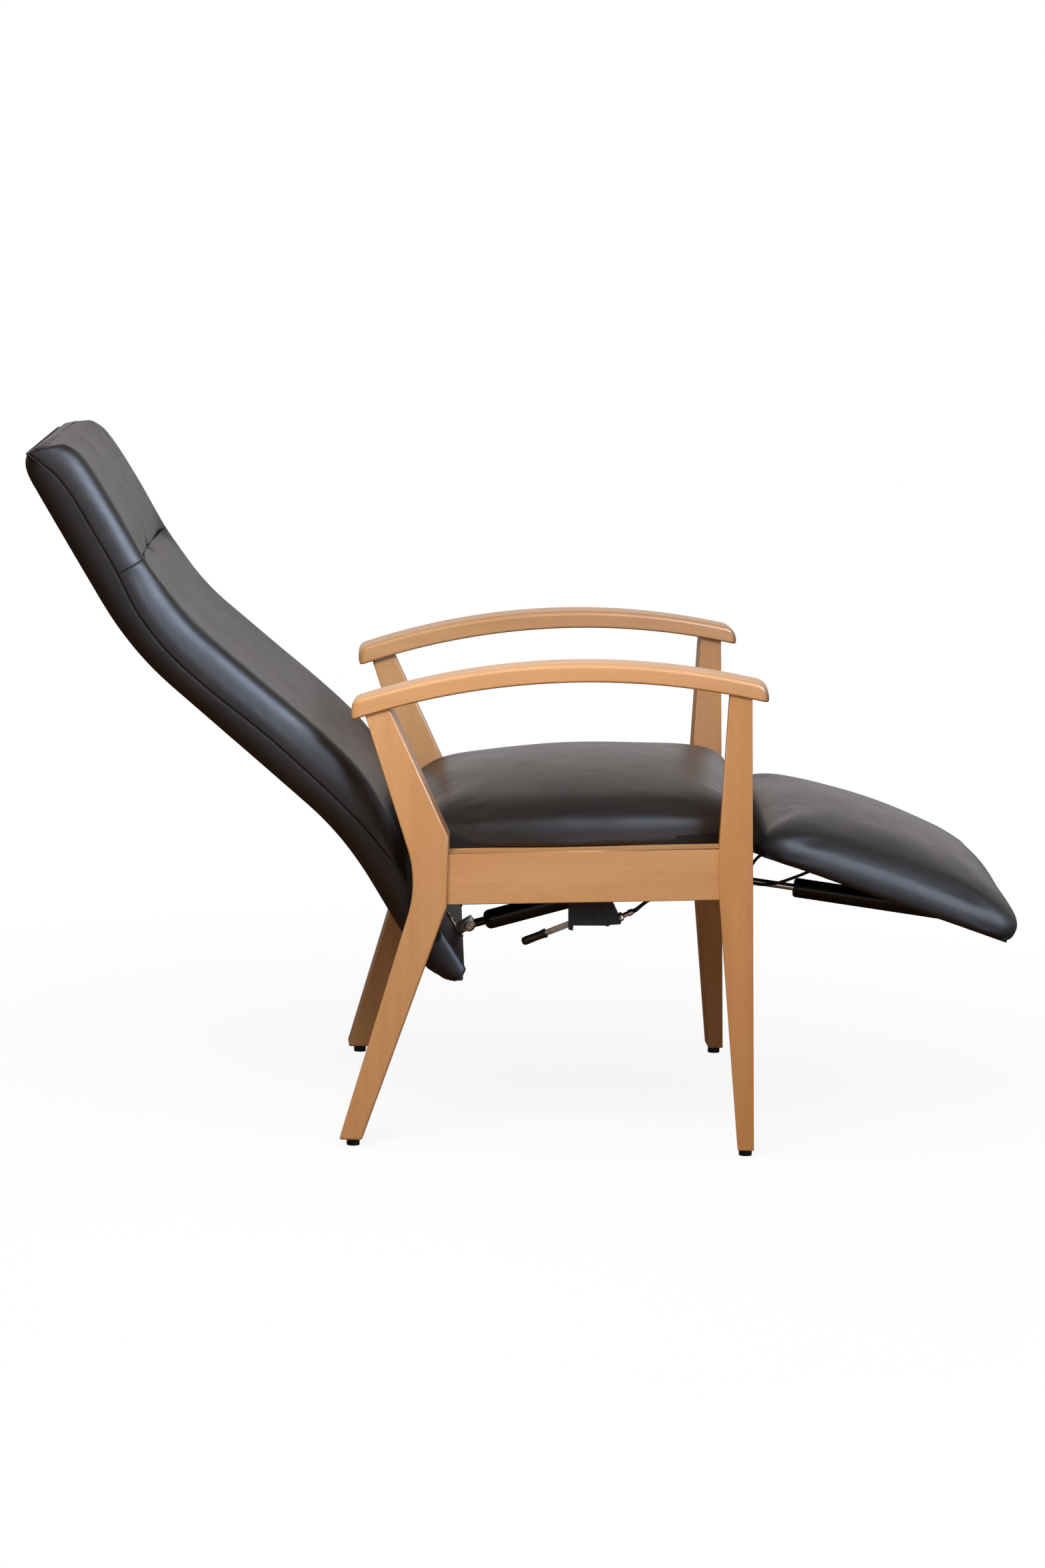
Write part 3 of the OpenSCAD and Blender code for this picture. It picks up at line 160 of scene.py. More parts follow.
def makeCamera():
    data = bpy.data.cameras.new("camera")
    data.lens = camera["lens"]
    data.sensor_width = 36
    data.clip_end = 50
    scene.camera = addObject("camera", data)
    turns = (camera["yaw"], "Z"), (pi / 2 - camera["pitch"], "X"), (camera["roll"], "Z")
    scene.camera.matrix_world = Matrix.Translation(chairPoint(*camera["place"]))
    for angle, axis in turns:
        scene.camera.matrix_world @= Matrix.Rotation(angle, 4, axis)


makeCamera()

# Release cables, each on its CAD solid's route: out of the adjuster, behind the rail, to its spring's head
cables = {
    "radius": 0.00225, "adjuster": (0.374574, 0.320163), "way": (0.8979, 0.4402), "ferrule": 0.020,
    "apart": {"rear": 0.053, "front": 0.043},
    "rear": [(410, -279, 340), (420, -275, 346), (433, -262, 347), (442, -230, 346), (447, -180, 342),
             (448, -120, 337), (446, -68, 335), (438, -36, 340)],
    "front": [(409, -285, 340), (419, -284, 346), (436, -277, 347), (460, -262, 348), (494, -236, 348),
              (526, -206, 348), (548, -186, 350), (558, -174, 360), (564, -166, 374), (578, -155, 387),
              (602, -138, 386), (630, -112, 376), (656, -78, 366), (670, -46, 357), (669, -24, 347),
              (656, -14, 338), (638, -12, 330), (616, -12, 322), (596, -13, 319), (578, -13, 321)],
    "rearHead": (0.284, -0.0977), "frontHead": (0.384, -0.0977), "frontEye": (0.350, -0.0142),
    "rearStop": (-0.0095, 0.017), "frontStop": (-0.013, 0.031),
}
rearHead, frontHead = (np.array(seatPoint(cables[k][0], 0, cables[k][1])) for k in ("rearHead", "frontHead"))
rearEye = np.array(jointPlace["rear_spring_swing"])
frontEye = np.array(footrestPoint(cables["frontEye"][0], 0, cables["frontEye"][1]))
rearAxis, frontAxis = ((b - a) / np.linalg.norm(b - a)
                       for a, b in ((rearEye, rearHead), (frontHead, frontEye)))


def cableStart(which, along):
    u, z = (cables["adjuster"][k] + (cables["ferrule"] + along) * cables["way"][k] for k in (0, 1))
    return np.array(sidePoint(u, cables["apart"][which], z))


def catmullRom(a, b, c, d, t):
    square, cube = 2 * a - 5 * b + 4 * c - d, 3 * b - a - 3 * c + d
    return 0.5 * (2 * b + (c - a) * t + square * t * t + cube * t ** 3)


def cablePath(which, stop, way):
    d = 2 * cables["radius"]
    route = [np.array(chairPoint(*(q / 1000 for q in knot))) for knot in cables[which]]
    knots = [cableStart(which, d)] + route + [stop - d * way]
    p = np.array([knots[0]] + knots + [knots[-1]])
    fine = [catmullRom(*p[i:i + 4], t) for i in range(len(knots) - 1) for t in np.arange(5) / 5]
    return np.array([cableStart(which, 0)] + fine + [knots[-1], stop])


def ringFaces(i, m):
    # quads between ring i and the next, m points each
    return [(i * m + j, i * m + (j + 1) % m, (i + 1) * m + (j + 1) % m, (i + 1) * m + j) for j in range(m)]


def endFaces(n, m):
    return [tuple(range(m))[::-1], tuple((n - 1) * m + j for j in range(m))]


def tubeMesh(path, radius, sides=12):
    # rings carried along the path without twisting, closed at both ends
    path = np.array(path)
    steps = np.diff(path, axis=0)
    steps /= np.linalg.norm(steps, axis=1, keepdims=True)
    ways = np.vstack([steps[:1], steps[:-1] + steps[1:], steps[-1:]])
    ways /= np.linalg.norm(ways, axis=1, keepdims=True)
    up = np.cross(ways[0], (0.1, 1, 0.2))
    verts, faces = [], []
    for i, (point, way) in enumerate(zip(path, ways)):
        up = up - way * (up @ way)
        up /= np.linalg.norm(up)
        side = np.cross(way, up)
        a = np.arange(sides) * 2 * pi / sides
        verts.append(point + radius * (np.cos(a)[:, None] * up + np.sin(a)[:, None] * side))
        if i:
            faces += ringFaces(i - 1, sides)
    return np.vstack(verts), faces + endFaces(len(path), sides)


def makeCable(name, node, which, stop, way):
    path = cablePath(which, np.array(stop), np.array(way))
    piece = newObject(name, *tubeMesh(path, cables["radius"]))
    piece.data.polygons.foreach_set("use_smooth", [len(f.vertices) == 4 for f in piece.data.polygons])
    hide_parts(node)
    return piece


rearStop = rearHead + (0, *cables["rearStop"])
rearCable = makeCable("rearCable", "rear_cable", "rear", rearStop, (0, 1, 0))
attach(rearCable, "frame")
frontStop = frontHead + (0, cables["frontStop"][0], 0) + frontAxis * cables["frontStop"][1]
frontCable = makeCable("frontCable", "front_cable", "front", frontStop, -frontAxis)
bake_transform(frontCable)


# Shader maths: a socket with operators, and one call for every other node
class Value:
    def __init__(self, maker, socket):
        self.maker, self.socket = maker, socket

    def work(self, operation, a, b):
        return self.maker.add("Math", {"operation": operation}, {0: a, 1: b})

    def __add__(self, b):
        return self.work("ADD", self, b)

    def __radd__(self, b):
        return self.work("ADD", b, self)

    def __sub__(self, b):
        return self.work("SUBTRACT", self, b)

    def __rsub__(self, b):
        return self.work("SUBTRACT", b, self)

    def __mul__(self, b):
        return self.work("MULTIPLY", self, b)

    def __rmul__(self, b):
        return self.work("MULTIPLY", b, self)


class Maker:
    # makes the nodes of a material or a world
    def __init__(self, holder):
        holder.use_nodes = True
        self.holder, self.tree = holder, holder.node_tree
        self.tree.nodes.clear()

    def add(self, kind, settings=None, inputs=None, out=0):
        node = self.tree.nodes.new("ShaderNode" + kind)
        for key, value in (settings or {}).items():
            if key == "stops":
                elements = node.color_ramp.elements
                while len(elements) < len(value):
                    elements.new(0.5)
                for element, (place, colour) in zip(elements, value):
                    element.position = place
                    element.color = colour
            else:
                setattr(node, key, value)
        for key, value in (inputs or {}).items():
            if isinstance(value, Value):
                self.tree.links.new(value.socket, node.inputs[key])
            else:
                node.inputs[key].default_value = value
        return Value(self, node.outputs[out]) if len(node.outputs) else None

    def coords(self, scale=(1, 1, 1), turn=(0, 0, 0), move=(0, 0, 0)):
        place = self.add("TexCoord", out="Object")
        # turned first, then stretched
        if any(turn):
            place = self.add("Mapping", None, {"Vector": place, "Rotation": turn})
        return self.add("Mapping", None, {"Vector": place, "Location": move, "Scale": scale})

    def noise(self, vector, scale, detail=3.0, rough=0.5, warp=0.0):
        settings = {"Vector": vector, "Scale": scale, "Detail": detail, "Roughness": rough, "Distortion": warp}
        return self.add("TexNoise", None, settings)

    def ramp(self, value, stops):
        return self.add("ValToRGB", {"stops": stops}, {"Fac": value})

    def between(self, value, low, high, to0=0.0, to1=1.0):
        span = {"Value": value, "From Min": low, "From Max": high, "To Min": to0, "To Max": to1}
        return self.add("MapRange", None, span)

    def mix(self, amount, a, b):
        return self.add("Mix", {"data_type": "RGBA"}, {0: amount, 6: a, 7: b}, 2)

    def bump(self, height, strength, distance, normal=None):
        inputs = {"Height": height, "Strength": strength, "Distance": distance}
        if normal:
            inputs["Normal"] = normal
        return self.add("Bump", None, inputs)

    def finish(self, **sockets):
        named = {key.replace("_", " "): value for key, value in sockets.items()}
        self.add("OutputMaterial", None, {"Surface": self.add("BsdfPrincipled", None, named)})
        return self.holder


def newMaterial(name):
    return Maker(bpy.data.materials.new(name))


def rgb(*screen):
    # screen colour, 0 to 255, as a linear one
    return tuple(c / 255 / 12.92 if c <= 10 else ((c / 255 + 0.055) / 1.055) ** 2.4 for c in screen) + (1,)


leatherLook = {
    "dark": rgb(17, 11, 9), "light": rgb(31, 23, 19), "grain": 620.0, "rough": 0.45, "shine": 0.55,
    "coat": 0.05,
    # a seat's flanks are less polished than its top: how far the surface faces up on either
    "top": 0.88, "flank": 0.45,
}


def makeLeather(name, dark, light, stretch, turn=(0, 0, 0), rough=leatherLook["rough"], flank=0.0):
    m = newMaterial(name)
    plain = m.coords()
    drawn = m.coords(stretch, turn)
    cells = {"Vector": plain, "Scale": leatherLook["grain"]}
    pebbles = m.add("TexVoronoi", {"feature": "DISTANCE_TO_EDGE"}, cells)
    pebble = m.between(pebbles, 0.0, 0.28)
    pores = m.noise(plain, 900.0, 3.0)
    creases = m.noise(drawn, 1.0, 6.0, 0.62, 0.35)
    clouds = m.noise(plain, 5.0, 4.0)
    tone = clouds * 0.5 + m.between(creases, 0.35, 0.68) * 0.3 + pores * 0.2
    colour = m.mix(m.between(tone, 0.28, 0.72), dark, light)
    normal = m.add("TexCoord", out="Normal")
    up = m.add("VectorMath", {"operation": "DOT_PRODUCT"}, {0: normal, 1: (0, 0, 1)}, "Value")
    roughness = rough + m.between(up, leatherLook["top"], leatherLook["flank"]) * flank
    roughness = roughness + (m.noise(plain, 26.0, 5.0, 0.6) - 0.5) * 0.14 + (1 - pebble) * 0.05
    lines = m.noise(m.coords(tuple(2.6 * k for k in stretch), turn), 1.0, 5.0, 0.7, 0.6)
    wrinkles = m.between(lines, 0.60, 0.74)
    bump = m.bump(pebble * 0.5 + pores * 0.35, 0.20, 0.0002)
    bump = m.bump(creases, 0.22, 0.0012, bump)
    bump = m.bump(1 - wrinkles, 0.16, 0.0006, bump)
    return m.finish(Base_Color=colour, Roughness=roughness, Normal=bump, Coat_Roughness=0.3,
                    Specular_IOR_Level=leatherLook["shine"], Coat_Weight=leatherLook["coat"])


woodLook = {
    "pale": rgb(211, 163, 112), "deep": rgb(196, 145, 94), "pore": rgb(150, 100, 58), "rough": 0.40,
    "coat": 0.22,
}


def makeWood(name, along, seed, pale=woodLook["pale"], deep=woodLook["deep"]):
    # along is the turn that lays the grain's length on X
    m = newMaterial(name)
    broad = m.noise(m.coords((2.2, 14.0, 14.0), along, (seed, seed, 0)), 1.0, 3.0, 0.5, 0.6)
    rings = m.noise(m.coords((1.6, 60.0, 60.0), along, (seed, 0, 0)), 1.0, 3.0, 0.55, 0.5)
    flecks = m.noise(m.coords((190.0, 1500.0, 1500.0), along, (seed, 0, seed)), 1.0, 1.0)
    rays = m.noise(m.coords((420.0, 900.0, 900.0), along, (0, 0, seed)), 1.0, 2.0)
    tone = m.between(broad * 0.65 + rings * 0.35, 0.36, 0.66)
    colour = m.mix(tone, pale, deep)
    pore = m.between(flecks, 0.54, 0.72) * 0.26 + m.between(rays, 0.60, 0.72) * 0.12
    colour = m.mix(pore, colour, woodLook["pore"])
    roughness = woodLook["rough"] + pore * 0.15 + (rings - 0.5) * 0.08
    bump = m.bump(1 - pore, 0.08, 0.00015)
    bump = m.bump(rings, 0.04, 0.0003, bump)
    return m.finish(Base_Color=colour, Roughness=roughness, Normal=bump, Coat_Roughness=0.28,
                    Coat_Weight=woodLook["coat"])


def makeBoard(name):
    m = newMaterial(name)
    grain = m.noise(m.coords((6.0, 210.0, 6.0)), 1.0, 4.0, 0.65, 0.4)
    veins = m.noise(m.coords((2.0, 42.0, 2.0)), 1.0, 5.0, 0.6, 1.4)
    stops = [(0.32, rgb(9, 7, 6)), (0.5, rgb(17, 13, 12)), (0.62, rgb(28, 22, 19)), (0.74, rgb(44, 34, 29))]
    colour = m.ramp(grain * 0.5 + veins * 0.5, stops)
    bump = m.bump(grain, 0.25, 0.0004)
    return m.finish(Base_Color=colour, Roughness=0.6 + (grain - 0.5) * 0.25, Normal=bump,
                    Specular_IOR_Level=0.22)


def makePlain(name, colour, rough, speck=0.03, metal=0.0, scale=240.0, drawn=(1, 1, 1), bump=0.05, **more):
    m = newMaterial(name)
    fine = m.noise(m.coords(drawn), scale, 4.0, 0.6)
    broad = m.noise(m.coords(), 14.0, 3.0)
    lighter = tuple(min(1.0, c * 1.35 + 0.002) for c in colour[:3]) + (1,)
    colour = m.mix(m.between(fine * 0.5 + broad * 0.5, 0.3, 0.7), colour, lighter)
    roughness = rough + (fine - 0.5) * speck * 2 + (broad - 0.5) * speck * 2
    normal = m.bump(fine, bump, 0.0002)
    return m.finish(Base_Color=colour, Metallic=metal, Roughness=roughness, Normal=normal, **more)


upright, level, crosswise = (0, radians(90), 0), (0, 0, 0), (0, 0, radians(90))
looks = {
    "backLeather": makeLeather("backLeather", rgb(15, 10, 8), rgb(26, 19, 16), (24, 60, 24)),
    "padLeather": makeLeather("padLeather", leatherLook["dark"], leatherLook["light"], (30, 130, 30),
                              (0, 0, radians(8))),
    "seatLeather": makeLeather("seatLeather", rgb(20, 14, 11), rgb(36, 27, 22), (16, 120, 90),
                               (0, 0, radians(-3)), 0.37, 0.14),
    "restLeather": makeLeather("restLeather", rgb(18, 13, 11), rgb(34, 26, 22), (30, 110, 60),
                               (0, radians(19), radians(12)), 0.37, 0.27),
    "legWood": makeWood("legWood", upright, 3.1),
    # the front legs get a darker copy of the leg wood: painted shade, standing in for the light that falls off
    # down the front legs
    "frontLegWood": makeWood("frontLegWood", upright, 9.4, rgb(202, 148, 90), rgb(184, 127, 72)),
    "railWood": makeWood("railWood", level, 7.7),
    "armWood": makeWood("armWood", level, 12.3),
    "crossWood": makeWood("crossWood", crosswise, 5.2),
    "board": makeBoard("board"),
    "blackPlastic": makePlain("blackPlastic", rgb(15, 15, 16), 0.50, speck=0.06, bump=0.12, scale=900.0,
                              Specular_IOR_Level=0.35),
    "gripPlastic": makePlain("gripPlastic", rgb(9, 9, 9), 0.26, speck=0.04, bump=0.03, scale=300.0),
    "blackPaint": makePlain("blackPaint", rgb(8, 8, 8), 0.30, speck=0.05, Specular_IOR_Level=0.4),
    "darkSteel": makePlain("darkSteel", rgb(40, 40, 42), 0.42, speck=0.08, metal=0.8),
    "zinc": makePlain("zinc", rgb(176, 174, 165), 0.30, speck=0.12, metal=1.0, scale=120.0),
    "brightSteel": makePlain("brightSteel", rgb(205, 203, 196), 0.24, speck=0.06, metal=1.0, scale=90.0,
                             drawn=(1, 1, 12)),
    "chrome": makePlain("chrome", rgb(205, 206, 208), 0.12, metal=1.0),
    "thread": makePlain("thread", rgb(24, 18, 16), 0.75, speck=0.1),
}
print("materials made")


def facesOut(piece):
    bm = bmesh.new()
    bm.from_mesh(piece.data)
    bmesh.ops.remove_doubles(bm, verts=bm.verts, dist=1e-6)
    bmesh.ops.recalc_face_normals(bm, faces=bm.faces)
    bm.to_mesh(piece.data)
    bm.free()
    return piece


def bake(piece):
    # the modifiers' result becomes the piece's own mesh
    bpy.context.view_layer.update()
    done = bpy.data.meshes.new_from_object(piece.evaluated_get(bpy.context.evaluated_depsgraph_get()))
    piece.modifiers.clear()
    piece.data = done
    return piece


def smoothThrough(points, count, near=()):
    # a Catmull-Rom curve through the points, set out evenly but for the places near its ends
    p = np.array(points, float)
    idx = np.arange(len(p) - 1)
    t = np.linspace(0, 1, 12, endpoint=False)[None, :, None]
    four = (p[np.clip(idx + k, 0, len(p) - 1)][:, None, :] for k in (-1, 0, 1, 2))
    fine = np.vstack([catmullRom(*four, t).reshape(-1, p.shape[1]), p[-1:]])
    run = np.concatenate([[0], np.cumsum(np.linalg.norm(np.diff(fine, axis=0), axis=1))])
    want = np.linspace(0, run[-1], count)
    if len(near):
        inner = np.linspace(near[-1], run[-1] - near[-1], count - 2 * len(near) + 2)[1:-1]
        want = np.concatenate([near, inner, run[-1] - np.array(near)[::-1]])
    return np.stack([np.interp(want, run, fine[:, k]) for k in range(p.shape[1])], 1)


def easeTable(table, x):
    # smooth reading of a table of (place, value)
    xs, ys = [q[0] for q in table], [q[1] for q in table]
    if x <= xs[0]:
        return ys[0]
    if x >= xs[-1]:
        return ys[-1]
    i = max(k for k in range(len(xs)) if xs[k] <= x)
    h = xs[i + 1] - xs[i]
    t = (x - xs[i]) / h
    slope = []
    for k in (i, i + 1):
        before, after = max(k - 1, 0), min(k + 1, len(xs) - 1)
        slope.append((ys[after] - ys[before]) / (xs[after] - xs[before]))
    leave = ys[i] * (1 + 2 * t) * (1 - t) ** 2 + slope[0] * h * t * (1 - t) ** 2
    return leave + ys[i + 1] * t * t * (3 - 2 * t) + slope[1] * h * t * t * (t - 1)


def loft(name, rings, material, capped=True):
    # closed rings of equal count, closed at both ends with a fan
    rings = [np.array(r, float) for r in rings]
    m, n = len(rings[0]), len(rings)
    verts = np.vstack(rings + [rings[0].mean(0)[None], rings[-1].mean(0)[None]])
    faces = [face for i in range(n - 1) for face in ringFaces(i, m)]
    for j in range(m if capped else 0):
        k = (j + 1) % m
        faces += [(n * m, k, j), (n * m + 1, (n - 1) * m + j, (n - 1) * m + k)]
    return facesOut(newObject(name, verts if capped else verts[:-2], faces, material))


def arcPoints(cx, cr, radius, a0, a1, count=6):
    turns = np.radians(np.linspace(a0, a1, count))
    return [(cx + radius * cos(a), cr + radius * sin(a)) for a in turns]


def turned(name, profile, start, way, material, flats=None, lobes=(0, 0), sides=48, hollow=False, crisp=35):
    # (distance, radius) turned round an axis; flats cut a hexagon, lobes a star
    way = np.array(way, float) / np.linalg.norm(way)
    side = np.cross(way, (0.02, 0.01, 1))
    side /= np.linalg.norm(side)
    up = np.cross(side, way)
    a = np.arange(sides) * 2 * pi / sides
    spokes = np.cos(a)[:, None] * up + np.sin(a)[:, None] * side
    rings = []
    for x, r in list(profile) + ([profile[0]] if hollow else []):
        reach = r * (1 + lobes[1] * np.cos(lobes[0] * a))
        if flats:
            reach = np.minimum(reach, flats / np.cos((a + pi / 6) % (pi / 3) - pi / 6))
        rings.append(np.array(start) + way * x + reach[:, None] * spokes)
    piece = loft(name, rings, material, not hollow)
    piece.data.set_sharp_from_angle(angle=radians(crisp))
    return piece


def bevel(bm, edges, width, segments):
    bmesh.ops.bevel(bm, geom=edges, offset=width, offset_type="OFFSET", segments=segments, profile=0.5,
                    affect="EDGES", clamp_overlap=True)


def slabPiece(name, outline, place, t0, t1, material, edge=0.0006, crisp=35):
    # a flat outline (u, z) made a slab from t0 to t1, its edges softened
    verts = [place(u, t, z) for t in (t0, t1) for u, z in outline]
    n = len(outline)
    faces = [tuple(range(n)), tuple(range(2 * n - 1, n - 1, -1))] + ringFaces(0, n)
    piece = newObject(name, verts, faces, material)
    bm = bmesh.new()
    bm.from_mesh(piece.data)
    bmesh.ops.recalc_face_normals(bm, faces=bm.faces)
    rims = [e for e in bm.edges if e.calc_face_angle(0) > radians(60)]
    bevel(bm, rims, edge, 2)
    bm.to_mesh(piece.data)
    bm.free()
    piece.data.set_sharp_from_angle(angle=radians(crisp))
    return piece


def together(name, pieces):
    # several shapes of one body and finish become one piece
    bm = bmesh.new()
    for piece in pieces:
        bm.from_mesh(piece.data)
    mesh = bpy.data.meshes.new(name)
    bm.to_mesh(mesh)
    bm.free()
    mesh.materials.append(pieces[0].data.materials[0])
    for piece in pieces:
        bpy.data.objects.remove(piece)
    return addObject(name, mesh)


def dress(piece, node):
    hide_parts(node)
    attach(piece, nodes[node]["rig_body"])
    return piece


# Node trees for what repeats: an item set along a path, or stood on points that carry its direction
def makeTree(name, alongPath):
    tree = bpy.data.node_groups.new(name, "GeometryNodeTree")
    face = tree.interface
    sockets = {"Geometry": "Geometry", "Item": "Object", "Spacing": "Float", "Size": "Float",
               "Finish": "Material"}
    for label, kind in sockets.items():
        face.new_socket(label, in_out="INPUT", socket_type="NodeSocket" + kind)
    face.new_socket("Geometry", in_out="OUTPUT", socket_type="NodeSocketGeometry")

    def node(kind, **settings):
        made = tree.nodes.new(kind)
        for key, value in settings.items():
            setattr(made, key, value)
        return made

    given, out = node("NodeGroupInput"), node("NodeGroupOutput")
    item, stand = node("GeometryNodeObjectInfo"), node("GeometryNodeInstanceOnPoints")
    turn = node("FunctionNodeAlignRotationToVector", axis="Z")
    real, finish = node("GeometryNodeRealizeInstances"), node("GeometryNodeSetMaterial")
    if alongPath:
        curve, points = node("GeometryNodeMeshToCurve"), node("GeometryNodeCurveToPoints", mode="LENGTH")
        links = [(given, "Geometry", curve, "Mesh"), (curve, "Curve", points, "Curve"),
                 (given, "Spacing", points, "Length"), (points, "Points", stand, "Points"),
                 (points, "Tangent", turn, "Vector")]
    else:
        way = node("GeometryNodeInputNamedAttribute", data_type="FLOAT_VECTOR")
        way.inputs["Name"].default_value = "way"
        links = [(given, "Geometry", stand, "Points"), (way, "Attribute", turn, "Vector")]
    links += [(given, "Item", item, "Object"), (item, "Geometry", stand, "Instance"),
              (turn, "Rotation", stand, "Rotation"), (given, "Size", stand, "Scale"),
              (stand, "Instances", real, "Geometry"), (real, "Geometry", finish, "Geometry"),
              (given, "Finish", finish, "Material"), (finish, "Geometry", out, "Geometry")]
    for source, output, target, entry in links:
        tree.links.new(source.outputs[output], target.inputs[entry])
    return tree


trees = {True: makeTree("itemsAlongPath", True), False: makeTree("itemsOnPoints", False)}


def repeated(name, item, points, material, body, ways=None, spacing=0.003, size=1.0):
    # items along a path of points, or on the points themselves where ways says how each one faces
    alongPath = ways is None
    edges = [(k, k + 1) for k in range(len(points) - 1)] if alongPath else []
    mesh = bpy.data.meshes.new(name)
    mesh.from_pydata([tuple(q) for q in points], edges, [])
    if not alongPath:
        facing = mesh.attributes.new("way", "FLOAT_VECTOR", "POINT")
        facing.data.foreach_set("vector", np.array(ways, float).ravel())
    piece = addObject(name, mesh)
    mod = piece.modifiers.new("repeat", "NODES")
    mod.node_group = trees[alongPath]
    given = {q.name: q.identifier for q in mod.node_group.interface.items_tree if q.in_out == "INPUT"}
    for key, value in (("Item", item), ("Spacing", spacing), ("Size", size), ("Finish", material)):
        mod[given[key]] = value
    bake(piece)
    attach(piece, body)
    return piece


def coordsOf(mesh):
    co = np.empty(len(mesh.vertices) * 3)
    mesh.vertices.foreach_get("co", co)
    return co.reshape(-1, 3)


def puff(piece, pinned, pressure, cap, bend, stiff=18.0, frames=20):
    # pressure swells the leather between the places where it is held; cap limits how far a point may go
    start = coordsOf(piece.data)
    group = piece.vertex_groups.new(name="held")
    pinned = np.round(pinned, 1)
    for weight in np.unique(pinned[pinned > 0]):
        group.add(np.nonzero(pinned == weight)[0].tolist(), float(weight), "REPLACE")
    mod = piece.modifiers.new("cloth", "CLOTH")
    cloth = mod.settings
    cloth.quality = 5
    cloth.mass = 0.35
    cloth.tension_stiffness = cloth.compression_stiffness = stiff
    cloth.shear_stiffness = stiff * 0.4
    cloth.bending_stiffness = bend
    cloth.use_pressure = True
    cloth.uniform_pressure_force = pressure
    cloth.vertex_group_mass = "held"
    cloth.effector_weights.gravity = 0
    mod.collision_settings.use_collision = False
    for f in range(1, frames + 1):
        scene.frame_set(f)
    move = coordsOf(piece.evaluated_get(bpy.context.evaluated_depsgraph_get()).to_mesh()) - start
    # soft limit
    move *= cap / (cap + np.linalg.norm(move, axis=1, keepdims=True))
    piece.modifiers.clear()
    piece.vertex_groups.clear()
    scene.frame_set(1)
    piece.data.vertices.foreach_set("co", (start + move).ravel())
    piece.data.update()
    print("swelled", piece.name, "by up to %.1f mm" % (1000 * np.linalg.norm(move, axis=1).max()))
    return piece


# Wood: each piece is its CAD solid with softly rounded edges, square only where it butts against another
woodEdges = {
    "round": 0.0032, "segments": 4,
    # a face butts where its normal points that far along the named axis, on a leg only above that height
    "along": 0.8, "legTop": 0.55,
    "pieces": {
        "rear_leg_right": ("legWood", "z"), "rear_leg_left": ("legWood", "z"),
        # the front legs take the darker copy of the leg wood, which is painted shade
        "front_leg_right": ("frontLegWood", "z"), "front_leg_left": ("frontLegWood", "z"),
        "side_rail_right": ("railWood", "x"), "side_rail_left": ("railWood", "x"),
        "seat_cleat_right": ("railWood", "x"), "seat_cleat_left": ("railWood", "x"),
        "rear_cross_rail": ("crossWood", "y"), "front_cross_rail": ("crossWood", "y"),
        "spring_beam": ("crossWood", "y"),
    },
}


def camel(node):
    words = node.split("_")
    return words[0] + "".join(w.capitalize() for w in words[1:])


def evenShading(piece, weight):
    weighted = piece.modifiers.new("normals", "WEIGHTED_NORMAL")
    weighted.weight = weight
    return bake(piece)


def butts(face, square):
    if square == "z":
        return face.normal.z > woodEdges["along"] and face.calc_center_median().z > woodEdges["legTop"]
    return square and abs(face.normal["xy".index(square)]) > woodEdges["along"]


def softEdges(node, material, square, radius, segments):
    bm = bmesh.new()
    bm.from_mesh(nodes[node].data)
    bmesh.ops.remove_doubles(bm, verts=bm.verts, dist=2e-5)
    bmesh.ops.dissolve_limit(bm, angle_limit=radians(0.4), verts=bm.verts, edges=bm.edges)
    chosen = [e for e in bm.edges if len(e.link_faces) == 2 and e.calc_face_angle(0) > radians(30)
              and not any(butts(f, square) for f in e.link_faces)]
    bevel(bm, chosen, radius, segments)
    mesh = bpy.data.meshes.new(camel(node))
    bm.to_mesh(mesh)
    bm.free()
    mesh.materials.append(material)
    mesh.polygons.foreach_set("use_smooth", [True] * len(mesh.polygons))
    return evenShading(addObject(camel(node), mesh), 80)


for node, (look, square) in woodEdges["pieces"].items():
    dress(softEdges(node, looks[look], square, woodEdges["round"], woodEdges["segments"]), node)

# Armrests: a bent board with rounded edges, its noses turned down
arm = {
    "start": 0.0085, "length": 0.559, "width": 0.060, "overhang": 0.0045, "underZ": 0.648, "thick": 0.025,
    "underR": 1.029, "underX": 0.354, "topR": 1.012, "topX": 0.347, "frontNose": 0.020, "rearNose": 0.013,
    "endEdge": 0.005, "corner": 0.010, "edges": {"top": 0.0065, "low": 0.0035},
    # rings stand close together over the noses: how far from the end, and where the even ones begin
    "rear": (0.016, 0.018), "front": (0.022, 0.024),
}


def bow(radius, x):
    # height of a circle over its centre, x beside it
    return sqrt(max(0, radius ** 2 - x ** 2))


def drawnIn(radius, e):
    # how far a rounded end is drawn in at a distance e from it
    return radius - bow(radius, max(0, radius - e))


